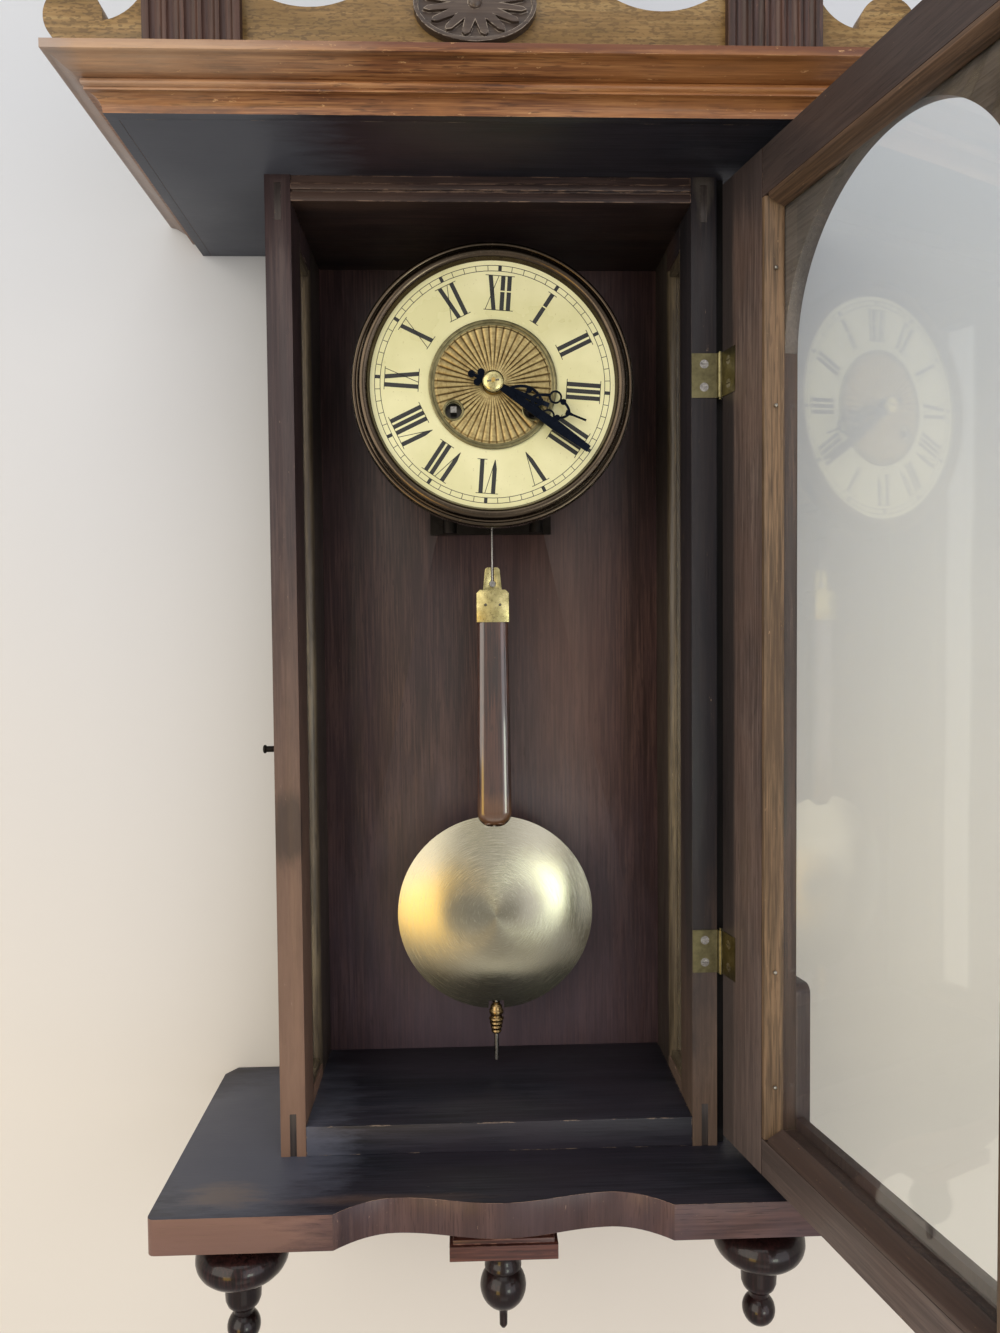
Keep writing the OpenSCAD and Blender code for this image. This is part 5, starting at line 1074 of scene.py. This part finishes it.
def paleMaterial(name, low, high, oneSided):
    # Matt wall paint, with painted light making it cooler and a little darker towards the top
    material, tree, shader, coords = newMaterial(name)
    height = addNode(tree, "SeparateXYZ", {"Vector": coords}).outputs["Z"]
    uneven = noise(tree, coords, stageLook["unevenMm"], 3.0)
    uneven = calc(tree, "MULTIPLY_ADD", uneven, stageLook["uneven"], height)
    rise = mapped(tree, uneven, stageLook["lowEnd"], stageLook["topEnd"], 0.0, 1.0)
    setInputs(tree, shader, {"Base Color": mixColour(tree, rise, low, high), "Roughness": 0.9})
    if oneSided:
        seeThrough(tree, shader, addNode(tree, "NewGeometry", {}).outputs["Backfacing"])
    return material


wall = fresh("wall", bpy.ops.mesh.primitive_plane_add, size=stageLook["size"], location=(0, 0.5 * mm, 0),
             rotation=(math.pi / 2, 0, 0))
paint(wall, paleMaterial("wallPaint", stageLook["wallLow"], stageLook["wallTop"], True))
wall.visible_shadow = False
wall.visible_diffuse = False
floor = fresh("floor", bpy.ops.mesh.primitive_plane_add, size=stageLook["size"],
              location=(0, 0, -stageLook["floorDrop"]))
paint(floor, paleMaterial("floorPaint", stageLook["floor"], stageLook["floor"], False))


# Lamps, world and camera

lampLooks = [
    dict(name="windowLamp", place=(-1.6, -2.0, 0.25), aim=(0, 0, -0.35), size=2.2, power=44.0,
         colour="#FFF6EA"),
    dict(name="roomLamp", place=(1.5, -2.3, -0.35), aim=(0, 0, -0.4), size=2.4, power=30.0, colour="#F6F4FF"),
    dict(name="topLamp", place=(0.0, -1.4, 1.6), aim=(0, -0.1, -0.2), size=1.6, power=10.0, colour="#FFFFFF"),
    # Three small lamps that only metal and polish show
    dict(name="warmGlint", place=(-0.95, -2.0, -1.0), aim=(0, 0, -0.5), size=0.6, power=6.5, colour="#FFCE5E",
         glossOnly=True),
    dict(name="coolGlint", place=(0.88, -2.0, -0.75), aim=(0, 0, -0.5), size=0.45, power=5.5,
         colour="#F2FFE8", glossOnly=True),
    dict(name="lowGlint", place=(0.05, -0.85, -1.3), aim=(0, 0, -0.5), size=0.5, power=0.6, colour="#F4F0E4",
         glossOnly=True),
]
for look in lampLooks:
    lamp = bpy.data.lights.new(look["name"], "AREA")
    lamp.size = look["size"]
    lamp.energy = look["power"]
    lamp.color = hexColour(look["colour"])[:3]
    holder = bpy.data.objects.new(look["name"], lamp)
    holder.location = look["place"]
    holder.visible_diffuse = not look.get("glossOnly", False)
    holder.rotation_euler = (Vector(look["aim"]) - Vector(look["place"])).to_track_quat("-Z", "Y").to_euler()
    bpy.context.scene.collection.objects.link(holder)

world = bpy.data.worlds.new("room")
bpy.context.scene.world = world
world.use_nodes = True
sky = world.node_tree
dim = sky.nodes["Background"]
setInputs(sky, dim, {"Color": hexColour("#D9DFF1"), "Strength": 0.45})
pale = addNode(sky, "Background", {"Color": hexColour("#DAD6D1"), "Strength": 1.0})
rays = addNode(sky, "LightPath", {}).outputs
mirrored = calc(sky, "MAXIMUM", rays["Is Transmission Ray"], rays["Is Glossy Ray"])
skyMix = addNode(sky, "MixShader", {0: calc(sky, "MAXIMUM", rays["Is Camera Ray"], mirrored),
                                    1: dim.outputs["Background"], 2: pale.outputs["Background"]})
sky.links.new(skyMix.outputs["Shader"], sky.nodes["World Output"].inputs["Surface"])

cameraLook = dict(
    place=(-17.0, -692.0, -303.9), forward=(0.0336, 0.9988, -0.0361), up=(0.0102, 0.0358, 0.9993),
    focalPixels=960.5, longSidePixels=1333, sensor=36.0)
cameraData = bpy.data.cameras.new("camera")
cameraData.sensor_width = cameraLook["sensor"]
cameraData.lens = cameraLook["sensor"] * cameraLook["focalPixels"] / cameraLook["longSidePixels"]
cameraData.clip_start = 0.02
camera = bpy.data.objects.new("camera", cameraData)
bpy.context.scene.collection.objects.link(camera)
ahead = Vector(cameraLook["forward"]).normalized()
right = ahead.cross(Vector(cameraLook["up"])).normalized()
upward = right.cross(ahead)
turn = Matrix((right, upward, -ahead)).transposed().to_4x4()
camera.matrix_world = Matrix.Translation([c * mm for c in cameraLook["place"]]) @ turn
bpy.context.scene.camera = camera
bpy.context.scene.view_settings.view_transform = "Standard"
print("stage, lamps and camera set")
